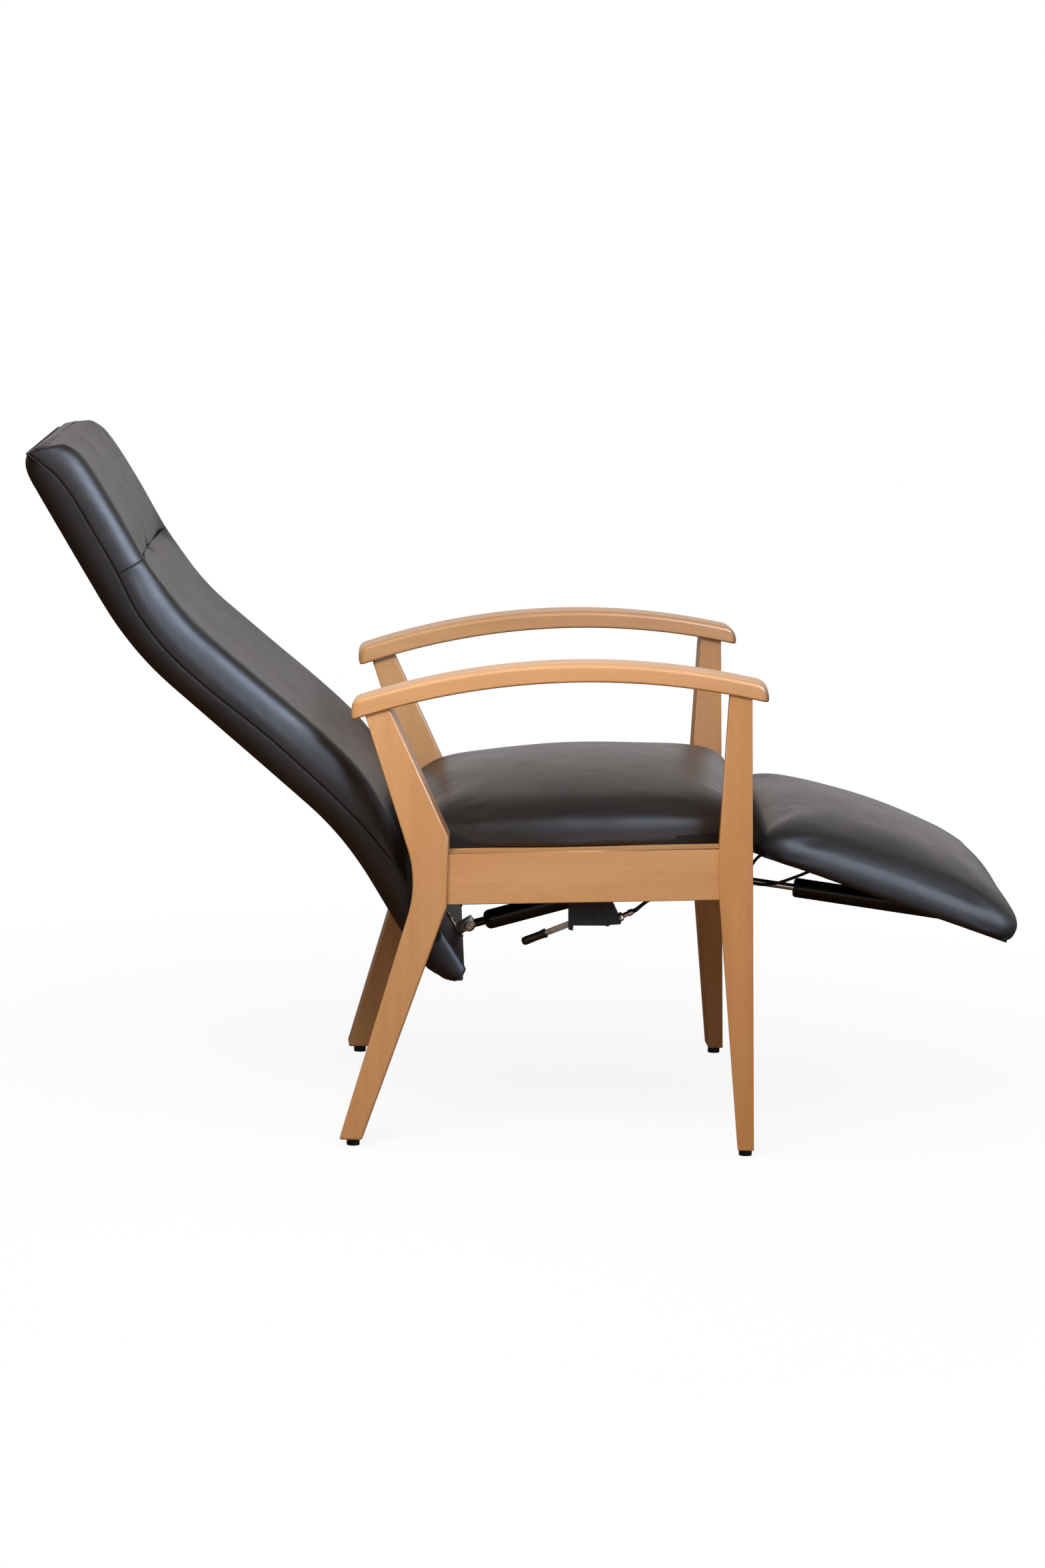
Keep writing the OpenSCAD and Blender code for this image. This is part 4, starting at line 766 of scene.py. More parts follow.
def armRings():
    x0, x1 = arm["start"], arm["start"] + arm["length"]
    low, top = arm["underZ"] - arm["underR"], arm["underZ"] + arm["thick"] - arm["topR"]
    noses = []
    for x, r in ((x0 + arm["rearNose"], arm["rearNose"]), (x1 - arm["frontNose"], arm["frontNose"])):
        touch = x + r * (x - arm["topX"]) / (arm["topR"] - r)
        noses.append((x, top + bow(arm["topR"] - r, x - arm["topX"]), r, touch))
    rear, front = noses

    def topOf(x):
        for (centre, z, radius, touch), way in ((rear, -1), (front, 1)):
            if way * (x - touch) > 0:
                return z + bow(radius, x - centre)
        return top + bow(arm["topR"], x - arm["topX"])

    turn = 1 - np.cos(np.linspace(0, pi / 2, 9))
    even = np.linspace(x0 + arm["rear"][1], x1 - arm["front"][1], 60)
    stops = np.concatenate([x0 + arm["rear"][0] * turn, even, x1 - arm["front"][0] * turn])
    rings = []
    for x in np.unique(np.round(stops, 6)):
        e = min(x - x0, x1 - x)
        inset = drawnIn(arm["endEdge"], e)
        across = max(drawnIn(arm["corner"], e), inset)
        t0, t1 = across - arm["overhang"], arm["width"] - arm["overhang"] - across
        z0 = low + bow(arm["underR"], x - arm["underX"]) + inset * 0.6
        z1 = max(topOf(x) - inset * 0.3, z0 + 0.002)
        ring = []
        corners = (t1, z1, "top", 0), (t0, z1, "top", 90), (t0, z0, "low", 180), (t1, z0, "low", 270)
        for t, z, edge, a0 in corners:
            r = min(arm["edges"][edge], (z1 - z0) / 2 * 0.98)
            centre = t - r if a0 in (0, 270) else t + r, z - r if a0 < 180 else z + r
            ring += [(x, *q) for q in arcPoints(*centre, r, a0, a0 + 90, 7)]
        rings.append(ring)
    return rings


def makeArm(name, node, side):
    rings = [[sidePoint(*q) for q in ring] for ring in armRings()]
    if side > 0:
        rings = [[(x, -y, z) for x, y, z in ring] for ring in rings]
    dress(evenShading(loft(name, rings, looks["armWood"]), 60), node)


makeArm("armRight", "armrest_right", -1)
makeArm("armLeft", "armrest_left", 1)
print("wood done")

# The back: front pad, head pad and rear cover meet in a seam that runs along the sides and over the top
backPads = {
    "half": 0.2455, "lumbar": 0.046, "head": 0.0395, "depth": 0.041, "roll": 0.0055, "crest": 0.9225,
    # share lost and width of the groove beside the head seam
    "groove": (0.0022, 0.0014),
    "seam": [(0.0, 0.004), (0.150, 0.003), (0.185, -0.001), (0.206, -0.0032), (0.285, -0.0062), (0.36, -0.0048),
             (0.43, -0.004), (0.53, -0.0082), (0.61, -0.0078), (0.67, -0.006), (0.727, -0.0018),
             (0.80, -0.0022), (0.85, -0.0032), (0.885, -0.0085), (0.905, -0.018), (0.92, -0.0295),
             (0.93, -0.030)],
    "lumbarRise": [(0, 0.06), (0.011, 0.24), (0.033, 0.39), (0.07, 0.55), (0.115, 0.69), (0.196, 0.88),
                   (0.305, 0.985), (0.424, 1.0), (0.542, 0.97), (0.715, 0.95), (0.85, 0.915), (0.942, 0.885),
                   (0.975, 0.872), (1, 0.866)],
    "headRise": [(0, 1.0), (0.04, 0.99), (0.08, 0.985), (0.165, 0.985), (0.4, 0.975), (0.68, 0.92),
                 (0.82, 0.85), (0.9, 0.76), (0.95, 0.62), (0.985, 0.42), (1, 0.10)],
    "rearFall": [(-0.0066, 0.3), (-0.0033, 0.5), (0.0014, 0.62), (0.0066, 0.72), (0.0154, 0.82), (0.0264, 0.95),
                 (0.0352, 1.03), (0.066, 1.07), (0.107, 1.09), (0.195, 1.05), (0.33, 1.0), (0.7, 1.0),
                 (0.85, 1.04), (0.955, 1.06), (0.978, 1.05), (0.990, 0.98), (0.997, 0.86), (1.0, 0.72)],
    "front": [(0.9985, 0.22), (0.993, 0.42), (0.983, 0.61), (0.967, 0.79), (0.943, 0.925), (0.912, 0.99),
              (0.878, 0.996), (0.82, 0.980), (0.72, 0.955), (0.56, 0.925), (0.28, 0.90)],
    "centre": 0.893, "fine": (0, 0.0012, 0.0024, 0.0034, 0.0044, 0.0056, 0.0072, 0.0095, 0.013, 0.0175),
    # the leather dips towards the head seam: depth and width on the bolster, in the hollow and at the pinch
    "dip": {"bolster": (0.014, 0.0025), "hollow": (0.11, 0.009), "valley": (0.12, 0.036),
            "pinch": (0.12, 0.014), "pinchHalf": 0.022, "foldReach": 0.045,
            "flank": (0.93, 0.16)},
    # how closely rings crowd at both ends, where the crest's last rings draw in and by how much
    "crowd": 0.85, "closing": (0.985, 0.015), "drawIn": (0.025, 0.5),
    # pressure, furthest swelling, bending stiffness, filling and the angle of a crease
    "swell": (2.2, 0.0025, 4.0), "filling": 0.8, "crease": 48,
}


def seamDip(y, away):
    # share of the thickness lost at a distance from the head seam
    dip = backPads["dip"]
    inner = min(1, max(0, (dip["flank"][0] - abs(y) / backPads["half"]) / dip["flank"][1]))
    inner = inner * inner * (3 - 2 * inner)
    loss = (1 - inner) * dip["bolster"][0] * exp(-away / dip["bolster"][1])
    loss += inner * dip["hollow"][0] * exp(-away / dip["hollow"][1])
    loss += inner * dip["valley"][0] * exp(-(away / dip["valley"][1]) ** 2)
    around = atan2(away, abs(y) + 1e-6)
    folds = 1 + 0.5 * cos(7 * around + 0.6) * exp(-(hypot(y, away) / dip["foldReach"]) ** 2)
    pinch = exp(-(y / dip["pinchHalf"]) ** 2 - (away / dip["pinch"][1]) ** 1.3)
    return loss + dip["pinch"][0] * folds * pinch


def mirrored(side, fine):
    # a smooth outline through half a section and its mirror image
    return smoothThrough(side + [(-y, n) for y, n in reversed(side[:-1])], 126, fine)


def closed(top, count):
    # the straight underside, from the section's last point back to its first
    share = np.arange(1, count)[:, None] / count
    return np.vstack([top, top[-1] + (top[0] - top[-1]) * share]), len(top)


def padSection(s, thick, seamN, away, close=0.0):
    # half outline from the seam up and over, then mirrored; close draws the ring in at the very end
    rise = [(0.982, -0.0002), (0.991, -0.0001), (0.9965, 0.0003), (0.9992, 0.0014), (1.0, 0.0035)]
    side = [(a, seamN + n) for a, n in rise]
    side += [(a, seamN + (thick - seamN) * b) for a, b in backPads["front"]]
    side.append((0.0, thick * backPads["centre"]))
    top = mirrored([(backPads["half"] * a, n) for a, n in side], backPads["fine"])
    # the seam's groove on the side
    pull = backPads["groove"][0] * exp(-(away / backPads["groove"][1]) ** 2)
    top = np.array([(y * (1 - pull), seamN + (n - seamN) * (1 - seamDip(y, away))) for y, n in top])
    middle = (top[:, 1].max() + seamN) / 2
    if close:
        drawn = 1 - close * np.array(backPads["drawIn"])
        top = (top - (0, middle)) * drawn + (0, middle)
    return closed(top, 24)


def padRings(s0, s1, count, table, height, crest):
    rings, top = [], 0
    for i in range(count):
        f = i / (count - 1)
        # closer rings towards both ends
        f -= backPads["crowd"] * sin(2 * pi * f) / (2 * pi)
        s = s0 + (s1 - s0) * f
        close = max(0, (f - backPads["closing"][0]) / backPads["closing"][1]) if crest else 0
        seamN = easeTable(backPads["seam"], s)
        section, top = padSection(s, height * easeTable(table, f), seamN, abs(s - spine["seam"]), close)
        rings.append([backPoint(s, y, n) for y, n in section])
    return rings, top


def makePad(name, node, s0, s1, count, table, height, crest):
    rings, top = padRings(s0, s1, count, table, height, crest)
    piece = loft(name, rings, looks["padLeather"])
    held = np.zeros(len(piece.data.vertices))
    m, fine = len(rings[0]), len(backPads["fine"])
    for i in range(count):
        ring = held[i * m:(i + 1) * m]
        ring[top:] = ring[:fine] = ring[top - fine:top] = 1.0
        # held hard at the seams, less further in; the crest is free to swell
        j = min(i, count - 1 - i)
        if j < 8:
            soft = 0.3 if crest and i > count / 2 else 1.0
            ring[:top] = np.maximum(ring[:top], soft * (1.0 if j < 5 else 0.5))
    held[-2:] = 1.0
    puff(piece, held, *backPads["swell"])
    piece.data.set_sharp_from_angle(angle=radians(backPads["crease"]))
    dress(piece, node)
    return rings, top


lumbarRings, lumbarTop = makePad(
    "backPad", "back_cushion", spine["bare"] + 0.0005, spine["seam"] - 0.0002, 120,
    backPads["lumbarRise"], backPads["lumbar"], False)
makePad("headPad", "head_cushion", spine["seam"] + 0.0002, backPads["crest"], 66,
        backPads["headRise"], backPads["head"], True)

coverLook = {
    "fine": (0, 0.0025, 0.005, 0.0075, 0.0100, 0.0112, 0.0122, 0.0132, 0.0142, 0.0155, 0.0175, 0.020, 0.024,
             0.029),
    "stitch": 0.0031, "stitchLong": 0.0023, "thread": 0.0004, "lift": 0.0003,
    "bare": (0.163, 0.022), "lipDrop": 0.006, "lipEnd": 0.002, "filling": 0.5,
    # rows of stitches: from where to where along the side, half the row over the top, how deep they sit
    "sideRow": (0.196, 0.9195), "topHalf": 0.23, "sideSunk": 0.0005, "topSunk": 0.0002, "topBack": 0.0016,
    "roll": [(-0.02, 0.0), (0.0, 0.35), (0.03, 0.9), (0.8, 1.0), (1.0, 0.9)],
    # the fold that meets the pads: share of the half width, height; openRoll holds shares of the roll
    "open": [(0.944, -0.009), (0.951, -0.0015), (0.959, 0.0), (0.973, 0.0), (0.989, 0.0), (0.9985, -0.003)],
    "openRoll": (None, 0, 0.75, 1, 0.62, 0),
    "shut": [(0.944, -0.006), (0.960, -0.0016), (0.978, -0.0006), (0.9968, -0.0003), (0.9992, -0.0008),
             (1.0, -0.0022)],
    # the wrapped rear: share of the half width, least step below the fold, share of the depth
    "rear": [(1.0005, 0.001, 0.36), (0.9965, 0.0012, 0.57), (0.985, 0.0015, 0.76), (0.964, 0.002, 0.90),
             (0.93, 0.0025, 0.98), (0.75, 0.003, 1.012), (0.38, 0.003, 1.028), (0, 0.003, 1.033)],
    # places along the spine: first, last, count
    "rings": [(-0.006, 0.03, 13), (0.03, 0.19, 40), (0.19, 0.86, 110), (0.86, 0.9195, 24)],
}


def coverSection(s):
    depth = backPads["depth"] * easeTable(backPads["rearFall"], s / spine["length"])
    bare = 1 - min(1, max(0, (s - coverLook["bare"][0]) / coverLook["bare"][1]))
    seamN = min(easeTable(backPads["seam"], s), 0.0)
    roll = backPads["roll"] * easeTable(coverLook["roll"], s / spine["bare"])
    lip = -min(coverLook["lipDrop"], max(0, coverLook["lipEnd"] - s) * 1.1)
    side = []
    for (a0, n0), share, (a1, n1) in zip(coverLook["open"], coverLook["openRoll"], coverLook["shut"]):
        if share is not None:
            n0 += lip + share * roll
        side.append((a0 * bare + a1 * (1 - bare), n0 * bare + (seamN + n1) * (1 - bare)))
    low = side[-1][1]
    side += [(a, min(low - step, -share * depth)) for a, step, share in coverLook["rear"]]
    return closed(mirrored([(a * backPads["half"], n) for a, n in side], coverLook["fine"]), 20)[0]


def makeCover():
    stops = np.unique(np.concatenate([np.linspace(*given) for given in coverLook["rings"]]))
    rings = [[backPoint(s, y, n) for y, n in coverSection(s)] for s in stops]
    piece = loft("backCover", rings, looks["backLeather"])
    piece.data.set_sharp_from_angle(angle=radians(backPads["crease"]))
    dress(piece, "back_cover")


makeCover()


def makeItem(name, rings, sides, smooth):
    # a small shape turned round Z, for the node trees to repeat
    spokes = [(cos(2 * pi * k / sides), sin(2 * pi * k / sides)) for k in range(sides)]
    verts = [(r * x, r * y, z) for r, z in rings for x, y in spokes]
    faces = [face for i in range(len(rings) - 1) for face in ringFaces(i, sides)]
    return newObject(name, verts, faces + endFaces(len(rings), sides), None, smooth)


def makeStitchItem(name, length, radius):
    # one stitch lies along Z, thick in the middle and drawn in at both ends
    rings = [(0.25, -0.5), (0.85, -0.36), (1.0, 0), (0.85, 0.36), (0.25, 0.5)]
    return makeItem(name, [(r * radius, z * length) for r, z in rings], 6, True)


def makeStitches():
    stitch = makeStitchItem("stitchItem", coverLook["stitchLong"], coverLook["thread"])

    def sew(name, path):
        repeated(name, stitch, path, looks["thread"], "back", spacing=coverLook["stitch"])

    for name, side in (("sideStitchesRight", -1), ("sideStitchesLeft", 1)):
        y = side * backPads["half"] * 0.9996
        path = [(s, easeTable(backPads["seam"],
                              s) - coverLook["sideSunk"]) for s in np.linspace(*coverLook["sideRow"], 300)]
        sew(name, [backPoint(s, y, n) for s, n in path])
    lift = np.subtract(backPoint(spine["seam"], 0, coverLook["lift"]), backPoint(spine["seam"], 0, 0))
    sew("headSeamStitches", [np.array(q) + lift for q in lumbarRings[-1][12:lumbarTop - 12]])
    s, half = backPads["crest"] - coverLook["topBack"], coverLook["topHalf"]
    n = easeTable(backPads["seam"], backPads["crest"]) - coverLook["topSunk"]
    sew("topStitches", [backPoint(s, y, n) for y in np.linspace(-half, half, 120)])
    bpy.data.objects.remove(stitch)


makeStitches()
print("back done")

# Seat and footrest: crowned pads whose leather is drawn over the edges and under the board
seatPad = {
    "rear": -0.043, "front": 0.416, "rearHalf": 0.262, "midHalf": 0.292, "frontHalf": 0.285, "corner": 0.038,
    # pressure, furthest swelling, bending stiffness and filling of both the seat and the footrest
    "crown": 0.0795, "swell": (3.0, 0.0035, 3.0), "filling": 0.85, "cornerDrop": 0.005, "widest": 0.6,
    "width": [(0, 0), (0.09, 0.12), (0.2, 0.55), (0.38, 0.92), (0.6, 1)],
    "profile": [(0.90, 0.03), (0.935, 0.006), (0.965, 0.0), (0.985, 0.03), (0.996, 0.10), (1, 0.2),
                (0.999, 0.33), (0.988, 0.45), (0.958, 0.56), (0.895, 0.68), (0.79, 0.79), (0.6, 0.90),
                (0.4, 0.96), (0.2, 0.99), (0.03, 1.0)],
}
footPad = {
    "length": 0.377, "half": 0.268, "corner": 0.034, "crown": 0.0825, "gather": 0.0011,
    "gatherAt": (0.03, 0.09),
    "out": 0.048, "down": 0.05, "rearHigh": 0.22,
    "profile": [(0.84, 0.03), (0.865, -0.012), (0.92, -0.014), (0.965, -0.004), (0.987, 0.06), (0.998, 0.15),
                (1, 0.25), (0.992, 0.35), (0.968, 0.46), (0.91, 0.59), (0.81, 0.73), (0.62, 0.885),
                (0.37, 0.965), (0.16, 0.995), (0.03, 1.0)],
}


def planLoop(rx, ry, count):
    points = []
    for sx, sy, a0 in ((1, 1, 0), (-1, 1, 90), (-1, -1, 180), (1, -1, 270)):
        for a in np.radians(np.linspace(a0, a0 + 90, 9)):
            points.append((sx * (1 - rx) + rx * cos(a), sy * (1 - ry) + ry * sin(a)))
    # evenly spaced, measured at the pad's own proportions
    p = np.array(points + points[:1])
    run = np.concatenate([[0], np.cumsum(np.hypot(*np.diff(p, axis=0).T))])
    want = np.linspace(0, run[-1], count + 1)[:-1]
    return np.stack([np.interp(want, run, p[:, k]) for k in (0, 1)], 1)


def padShell(name, node, loop, profile, place, material):
    curve = smoothThrough(profile, 56)
    rings = []
    for r, h in curve:
        ease = min(1, 2.2 * max(0, 1 - r))
        rings.append([place(*(((1 - ease) * p + ease * p / np.hypot(*p)) * r), h, p) for p in loop])
    piece = loft(name, rings, material)
    m = len(loop)
    held = np.zeros(len(piece.data.vertices))
    # what lies under the pad is stapled down
    tucked = 1 + sum(1 for r, h in curve[:20] if h < 0.02)
    held[:tucked * m] = 1.0
    held[tucked * m:(tucked + 2) * m] = 0.6
    held[-2] = 1.0
    puff(piece, held, *seatPad["swell"])
    dress(piece, node)


seatHalf = (seatPad["front"] - seatPad["rear"]) / 2


def seatPlace(qx, qy, h, p):
    rear, mid, front = (seatPad[k] for k in ("rearHalf", "midHalf", "frontHalf"))
    f = (p[0] + 1) / 2
    if f < seatPad["widest"]:
        half = rear + (mid - rear) * easeTable(seatPad["width"], f)
    else:
        half = mid + (front - mid) * (f - seatPad["widest"]) / (1 - seatPad["widest"])
    lower = seatPad["cornerDrop"] * max(0, -qx) ** 2 * abs(qy) * (1 if h > 0.4 else h / 0.4)
    return seatPoint(seatPad["rear"] + seatHalf + qx * seatHalf, qy * half, h * seatPad["crown"] - lower)


def footPlace(qx, qy, h, p):
    half = footPad["length"] / 2
    # the leather is gathered where it turns the corners
    around = atan2(p[1], p[0])
    gather = footPad["gather"] * (0.25 + 2.2 * (abs(p[0]) * abs(p[1])) ** 3)
    gather *= exp(-((h - footPad["gatherAt"][0]) / footPad["gatherAt"][1]) ** 2)
    tuck = gather * (sin(58 * around) + 0.6 * sin(83 * around + 1.3))
    # at the hinge end the leather comes down full over the board's edge
    rear, low = max(0, -p[0]) ** 6, min(1, max(0, 1 - h / footPad["rearHigh"]))
    along = half + (qx - footPad["out"] * rear * low) * half * (1 + tuck / half)
    across = qy * footPad["half"] * (1 + tuck / footPad["half"])
    return footrestPoint(along, across, (h - footPad["down"] * rear * low * low) * footPad["crown"])


footCorner = 2 * footPad["corner"] / footPad["length"], footPad["corner"] / footPad["half"]
seatLoop = planLoop(seatPad["corner"] / seatHalf, seatPad["corner"] / seatPad["midHalf"], 150)
padShell("seatPad", "seat_cushion", seatLoop, seatPad["profile"], seatPlace, looks["seatLeather"])
padShell("footPad", "footrest_cushion", planLoop(*footCorner, 150), footPad["profile"], footPlace,
         looks["restLeather"])
print("seat and footrest done")

# Mechanism: gas spring tubes, rear spring bracket and bolt, release lever with its housing, cable adjusters
gasSpring = {
    "tube": 0.014, "bore": 0.012, "rod": 0.0051, "reach": 0.023, "guide": 0.012, "end": 0.008, "pin": 0.0042,
    "mouth": 0.004, "groove": 0.0008, "collar": (0.036, 0.027),
}


def makeSpringTube(name, node, eye, way, length, roundEnd):
    g = gasSpring
    s0, s1, r = g["reach"], g["reach"] + length, g["tube"]
    profile = [(s0, g["pin"])] + arcPoints(s0 + roundEnd, r - roundEnd, roundEnd, 180, 90, 8)
    for back in g["collar"]:
        for along, deep in ((0, 0), (0.0002, 1), (0.0010, 1), (0.0012, 0)):
            profile.append((s1 - back + along, r - deep * g["groove"]))
    profile += arcPoints(s1 - g["mouth"], r - g["mouth"], g["mouth"], 90, 0)
    profile += [(s1, g["rod"]), (s1 - g["guide"], g["rod"]), (s1 - g["guide"], g["bore"])]
    profile += [(s0 + g["end"], g["bore"]), (s0 + g["end"], g["pin"])]
    dress(turned(name, profile, eye, way, looks["blackPaint"], sides=64, hollow=True), node)


makeSpringTube("rearSpringTube", "rear_spring_tube", rearEye, rearAxis, 0.185, 0.0085)
makeSpringTube("frontSpringTube", "front_spring_tube", frontEye, -frontAxis, 0.231, 0.006)

rearBracket = {
    "plate": (0.003, 0.044), "half": 0.0095, "inner": 0.0065, "thick": 0.003, "cheek": (0.0086, 0.0231),
    "reach": 0.0275, "corner": 0.002, "eye": (0.0133, 0.018),
    "shaft": [(-0.0158, 0.0024), (-0.0153, 0.0030), (0.0153, 0.0030), (0.0158, 0.0024)],
    "washer": [(0.0096, 0.0030), (0.0096, 0.0061), (0.0099, 0.0064), (0.0106, 0.0064), (0.0108, 0.0061),
               (0.0108, 0.0030)],
    "nut": [(0.0108, 0.0030), (0.0108, 0.0052), (0.0138, 0.0054), (0.0145, 0.0047), (0.0145, 0.0030)],
    "flats": 0.0047,
}


def makeRearBracket():
    b, steel = rearBracket, looks["brightSteel"]
    (s0, s1), (c0, c1), w, k = b["plate"], b["cheek"], b["half"], b["corner"]
    plan = arcPoints(s1 - w, 0, w, -90, 90, 12) + arcPoints(s0 + w, 0, w, 90, 270, 12)
    pieces = [slabPiece("bracketPlate", plan, lambda u, t, z: backPoint(u, z, t), 0.0, b["thick"],
                        looks["zinc"])]
    side = [(c0, 0.001)] + arcPoints(c0 + k, b["reach"] - k, k, 180, 90, 5)
    side += arcPoints(c1 - k, b["reach"] - k, k, 90, 0, 5) + [(c1, 0.001)]
    centre = np.array(backPoint(b["eye"][0], 0, b["eye"][1]))
    bolt = [turned("boltShaft", b["shaft"], centre, (0, 1, 0), steel, sides=24)]
    for sign in (-1, 1):
        cheek = slabPiece("bracketCheek", side, lambda u, t, z: backPoint(u, sign * t, z), b["inner"], w,
                          looks["zinc"])
        pieces.append(cheek)
        bolt.append(turned("boltWasher", b["washer"], centre, (0, sign, 0), steel, sides=32))
        bolt.append(turned("boltNut", b["nut"], centre, (0, sign, 0), steel, flats=b["flats"], sides=36))
    dress(together("rearSpringBracket", pieces), "rear_spring_bracket")
    dress(together("rearEyeBolt", bolt), "rear_eye_bolt")


makeRearBracket()

lever = {
    "pin": (0.344, 0.3252), "slope": radians(22.8), "bar": 0.074, "middle": 0.048, "near": 0.035,
    "width": 0.026,
    "gripProfile": [(0.0, 0.0052), (0.0002, 0.0061), (0.0010, 0.0065), (0.0028, 0.0065), (0.0050, 0.0060),
                    (0.0090, 0.0056), (0.0190, 0.0056), (0.0270, 0.0059), (0.0318, 0.0058), (0.0342, 0.0049),
                    (0.0355, 0.0034), (0.0360, 0.0012)],
    "rib": [[(0.3191, 0.3106), (0.3188, 0.3203), (0.3352, 0.3283), (0.3356, 0.3375)],
            [(0.3520, 0.3375), (0.3522, 0.3270), (0.3600, 0.3215), (0.3602, 0.3175)]],
    "ribWidth": 0.0013, "ribRise": 0.0006, "bump": (0.3583, 0.3128, 0.0036), "bumpIn": 0.001,
    "adjusters": (0.043, 0.053),
    "nut": [(0.0, 0.0034), (0.0, 0.0044), (0.0006, 0.0048), (0.0042, 0.0048), (0.0048, 0.0043),
            (0.0048, 0.0030)],
    "thread": [(0.0046 + 0.00045 * k, 0.0029 if k % 2 else 0.0024) for k in range(19)] + [(0.0134, 0.0026)],
    "ferrule": [(0.0128, 0.0028), (0.0130, 0.0034), (0.0136, 0.0036), (0.0180, 0.0036), (0.0184, 0.0032),
                (0.0200, 0.0031), (0.0200, 0.0023)],
}


def makeLever():
    (u, z), slope, plastic = lever["pin"], lever["slope"], looks["blackPlastic"]
    foot, tip = (np.array(sidePoint(u - d * cos(slope), lever["middle"], z - d * sin(slope)))
                 for d in (lever["bar"], lever["bar"] + 1))
    grip = turned("leverGrip", lever["gripProfile"], foot, tip - foot, looks["gripPlastic"], sides=40, crisp=60)
    dress(grip, "lever_grip")
    dress(softEdges("release_lever", looks["zinc"], None, 0.0008, 2), "release_lever")
    pieces = [softEdges("lever_housing", plastic, None, 0.0011, 2)]
    near, far, rise = lever["near"], lever["near"] + lever["width"], lever["ribRise"]
    for line in lever["rib"]:
        for start, end in zip(np.array(line[:-1]), np.array(line[1:])):
            du, dz = (end - start) / hypot(*(end - start)) * lever["ribWidth"] / 2
            strip = [start + (-du - dz, du - dz), start + (dz - du, -dz - du),
                     end + (du + dz, dz - du), end + (du - dz, dz + du)]
            pieces.append(slabPiece("housingRib", strip, sidePoint, near - rise, near + rise, plastic, 0.0002))
    bump, inset = arcPoints(*lever["bump"], 180, 360, 12), lever["bumpIn"]
    pieces.append(slabPiece("housingBump", bump, sidePoint, near + inset, far - inset, plastic))
    dress(together("leverHousing", pieces), "lever_housing")


makeLever()


def makeAdjusters():
    (u, z), (du, dz), steel = cables["adjuster"], cables["way"], looks["brightSteel"]
    parts = []
    for t in lever["adjusters"]:
        start = np.array(sidePoint(u, t, z))
        way = sidePoint(u + du, t, z + dz) - start
        parts += [turned("adjusterNut", lever["nut"], start, way, steel, lobes=(6, 0.11), crisp=50),
                  turned("adjusterThread", lever["thread"], start, way, steel, sides=24, crisp=80),
                  turned("adjusterFerrule", lever["ferrule"], start, way, steel, sides=32)]
    dress(together("cableAdjusters", parts), "cable_adjusters")


makeAdjusters()


# Small screws and staples, stood on points or set along a line
fixings = {
    "screw": (0.0034, 0.0016),
    "screwShares": [(1, 0), (1, 0.35), (0.82, 0.85), (0.55, 1), (0.34, 1), (0.30, 0.35)],
    "bracket": (0.0295, 0.0380), "sunk": 0.0002, "hinge": (0.076, 0.100, 0.088), "flank": (0.2495, -0.0135),
    "staple": (0.011, 0.0008), "stapleGap": 0.034, "stapleLine": (0.888, 0.9, -0.0175),
}


def makeScrews():
    radius, height = fixings["screw"]
    screw = makeItem("screwItem", [(r * radius, z * height) for r, z in fixings["screwShares"]], 12, False)
    staple = makeStitchItem("stapleItem", *fixings["staple"])
    outward = np.subtract(backPoint(0.03, 0, 0.01), backPoint(0.03, 0, 0))
    points = [backPoint(s, 0, rearBracket["thick"] - fixings["sunk"]) for s in fixings["bracket"]]
    repeated("bracketScrews", screw, points, looks["darkSteel"], "back", ways=[outward, outward])
    places = [(sign, s) for sign in (-1, 1) for s in fixings["hinge"]]
    y, n = fixings["flank"]
    points, ways = [backPoint(s, sign * y, n) for sign, s in places], [(0, q[0], 0) for q in places]
    repeated("hingeScrews", screw, points, looks["darkSteel"], "back", ways=ways)
    ring = list(planLoop(*footCorner, 120))
    sx, sy, h = fixings["stapleLine"]
    line = [footPlace(qx * sx, qy * sy, h, (0, 0)) for qx, qy in ring + ring[:1]]
    repeated("footrestStaples", staple, line, looks["zinc"], "footrest",
             spacing=fixings["stapleGap"])
    for item in (screw, staple):
        bpy.data.objects.remove(item)


makeScrews()
print("mechanism done")

# CAD nodes that keep their shape and get their finish here
finishes = {
    "board": ["seat_board", "back_board", "footrest_board"],
    "blackPlastic": ["leg_glides", "lever_pin"],
    "blackPaint": ["rear_release_head", "front_release_head", "rear_spring_eye"],
    "darkSteel": ["back_hinge_plates", "back_hinge_brackets", "back_hinge_bolts", "footrest_hinge_brackets",
                  "footrest_hinge_plates", "footrest_hinge_bolts",
                  "rear_spring_hanger", "front_spring_hanger"],
    "zinc": ["front_spring_bracket", "front_head_pin", "rear_head_pin", "front_eye_pin", "front_spring_eye",
             "rear_spring_piston", "front_spring_piston"],
    "chrome": ["rear_spring_rod", "front_spring_rod"],
}
for piece in (rearCable, frontCable):
    piece.data.materials.append(looks["blackPlastic"])
for look, names in finishes.items():
    for holder in (holder for name in names for holder in nodes[name].material_slots):
        holder.material = looks[look]

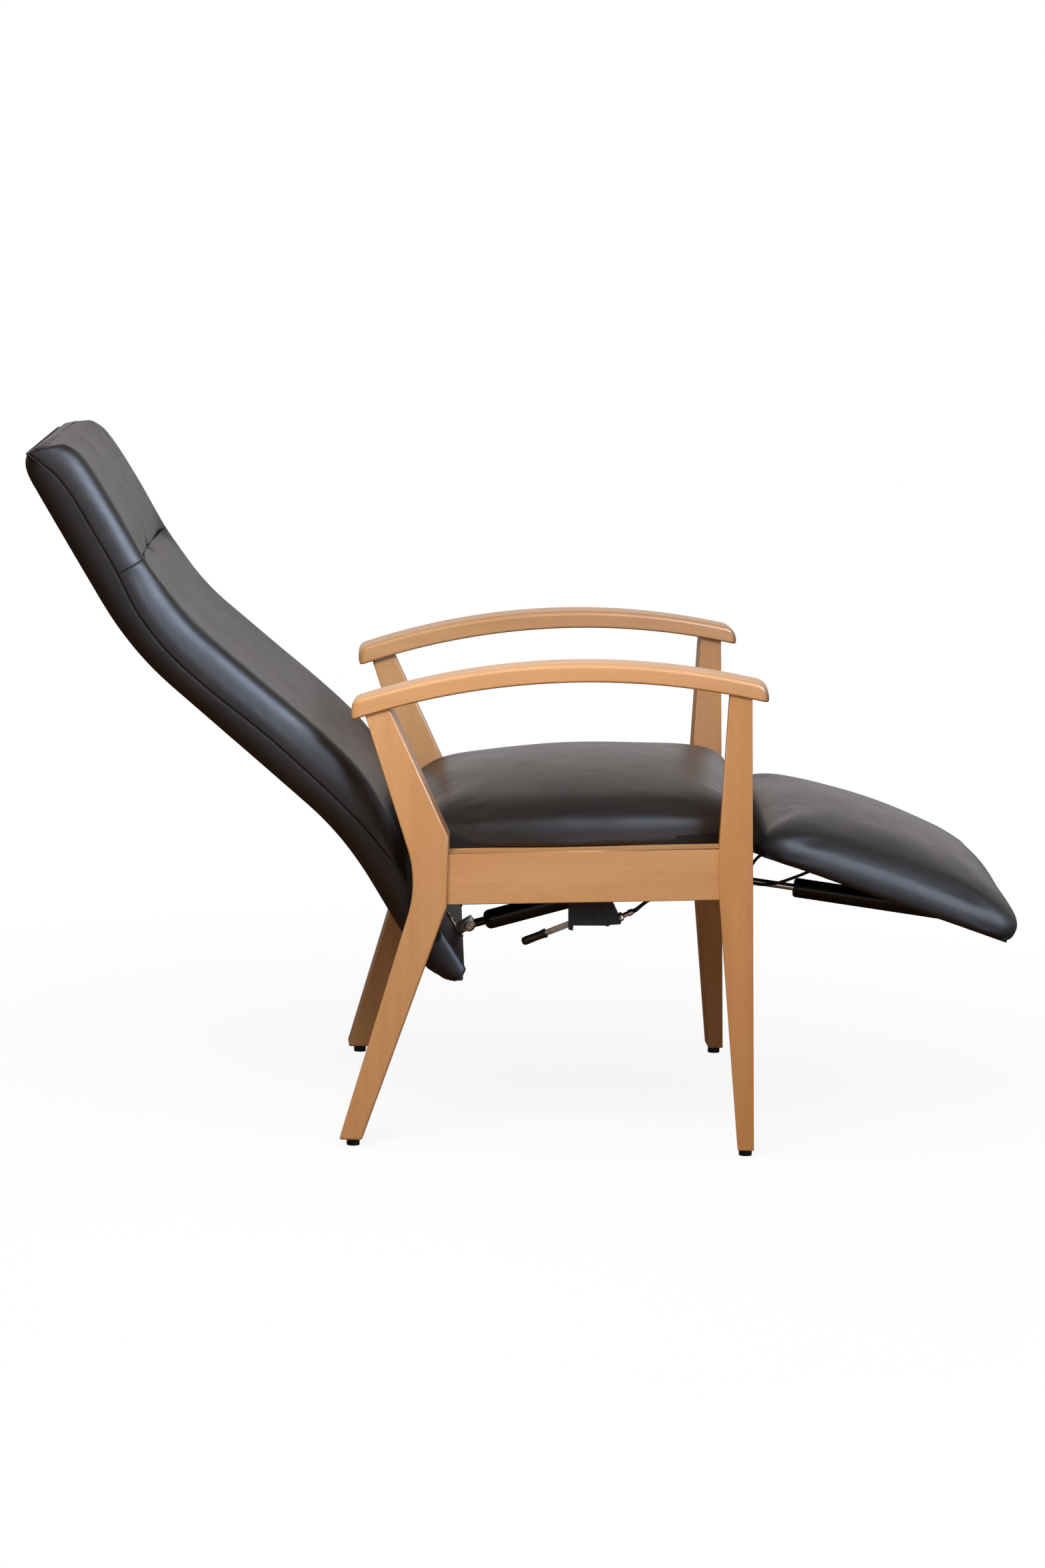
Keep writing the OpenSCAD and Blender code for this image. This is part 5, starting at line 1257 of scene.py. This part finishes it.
# Floor, world and lamps: the camera sees plain white, and a room with a pale wall lights the chair
studio = {
    "floor": (0.20, 0.105, 0.05, 1), "shadow": (0.25, 1.5, 0.90, 1.0), "dark": 0.09, "wall": 1.0,
    "ceiling": 0.17, "tint": (1.0, 0.955, 0.94, 1),
    # place, target, size, power, colour, whether it lights or is only mirrored
    "lamps": {
        "keyLamp": ((-0.45, -1.45, 1.85), (0.0, 0, 0.6), (1.1, 0.8), 37, (1.0, 0.98, 0.96), True),
        "topLamp": ((0.3, -0.5, 2.4), (0.1, 0, 0.5), (1.8, 1.6), 7, (1.0, 0.99, 0.97), True),
        "lowLamp": ((0.1, -4.6, 0.8), (0, 0, 0.3), (2.4, 1.0), 30, (1.0, 0.76, 0.48), True),
        "windowLamp": ((1.75, -2.1, 2.05), (-0.4, 0, 0.8), (1.7, 1.8), 210, (0.64, 0.77, 1.0), False),
        "nearWall": ((0.0, -6.4, 0.7), (0, 0, 0.7), (7.0, 1.3), 34, (0.93, 0.95, 1.0), False),
    },
}


def makeStage():
    # to the camera the floor is white, with the chair's shadow near its feet; the light it throws back is warm
    m = newMaterial("floor")
    bounced = m.add("BsdfDiffuse", None, {"Color": studio["floor"]})
    pale = m.add("BsdfDiffuse", None, {"Color": (0.9, 0.9, 0.9, 1)})
    white = m.add("Emission", None, {"Color": (1, 1, 1, 1), "Strength": 1.0})
    away = m.add("VectorMath", {"operation": "LENGTH"}, {0: m.add("TexCoord", out="Object")}, "Value")
    shown = m.add("MixShader", None, {0: m.between(away, *studio["shadow"]), 1: pale, 2: white})
    both = m.add("MixShader", None, {0: m.add("LightPath"), 1: bounced, 2: shown})
    m.add("OutputMaterial", None, {"Surface": both})
    corners = [(-6, -6, 0), (6, -6, 0), (6, 6, 0), (-6, 6, 0)]
    newObject("floor", corners, [(0, 1, 2, 3)], m.holder, False)
    room = Maker(bpy.data.worlds.new("studio"))
    scene.world = room.holder
    way = room.add("TexCoord")
    far, up = (room.add("SeparateXYZ", None, {"Vector": way}, k) for k in (1, 2))
    wall = room.between(far, 0.0, 0.9) * room.between(up, 0.75, 0.2) * room.between(up, 0.0, 0.18, 0.6, 1.0)
    light = wall * studio["wall"] + room.between(up, 0.1, 0.9) * studio["ceiling"] + studio["dark"]
    lit = room.add("Background", None, {"Color": studio["tint"], "Strength": light})
    shown = room.add("Background", None, {"Color": (1, 1, 1, 1), "Strength": 1.0})
    both = room.add("MixShader", None, {0: room.add("LightPath"), 1: lit, 2: shown})
    room.add("OutputWorld", None, {"Surface": both})


def makeLamp(name, place, target, size, power, colour, lights):
    data = bpy.data.lights.new(name, "AREA")
    data.shape = "RECTANGLE"
    data.size, data.size_y = size
    data.energy = power
    data.color = colour
    light = addObject(name, data)
    light.location = place
    light.rotation_euler = (Vector(target) - Vector(place)).to_track_quat("-Z", "Y").to_euler()
    light.visible_camera = False
    light.visible_glossy = not lights
    light.visible_diffuse = lights


makeStage()
for name, settings in studio["lamps"].items():
    makeLamp(name, *settings)
scene.view_settings.view_transform = "Standard"
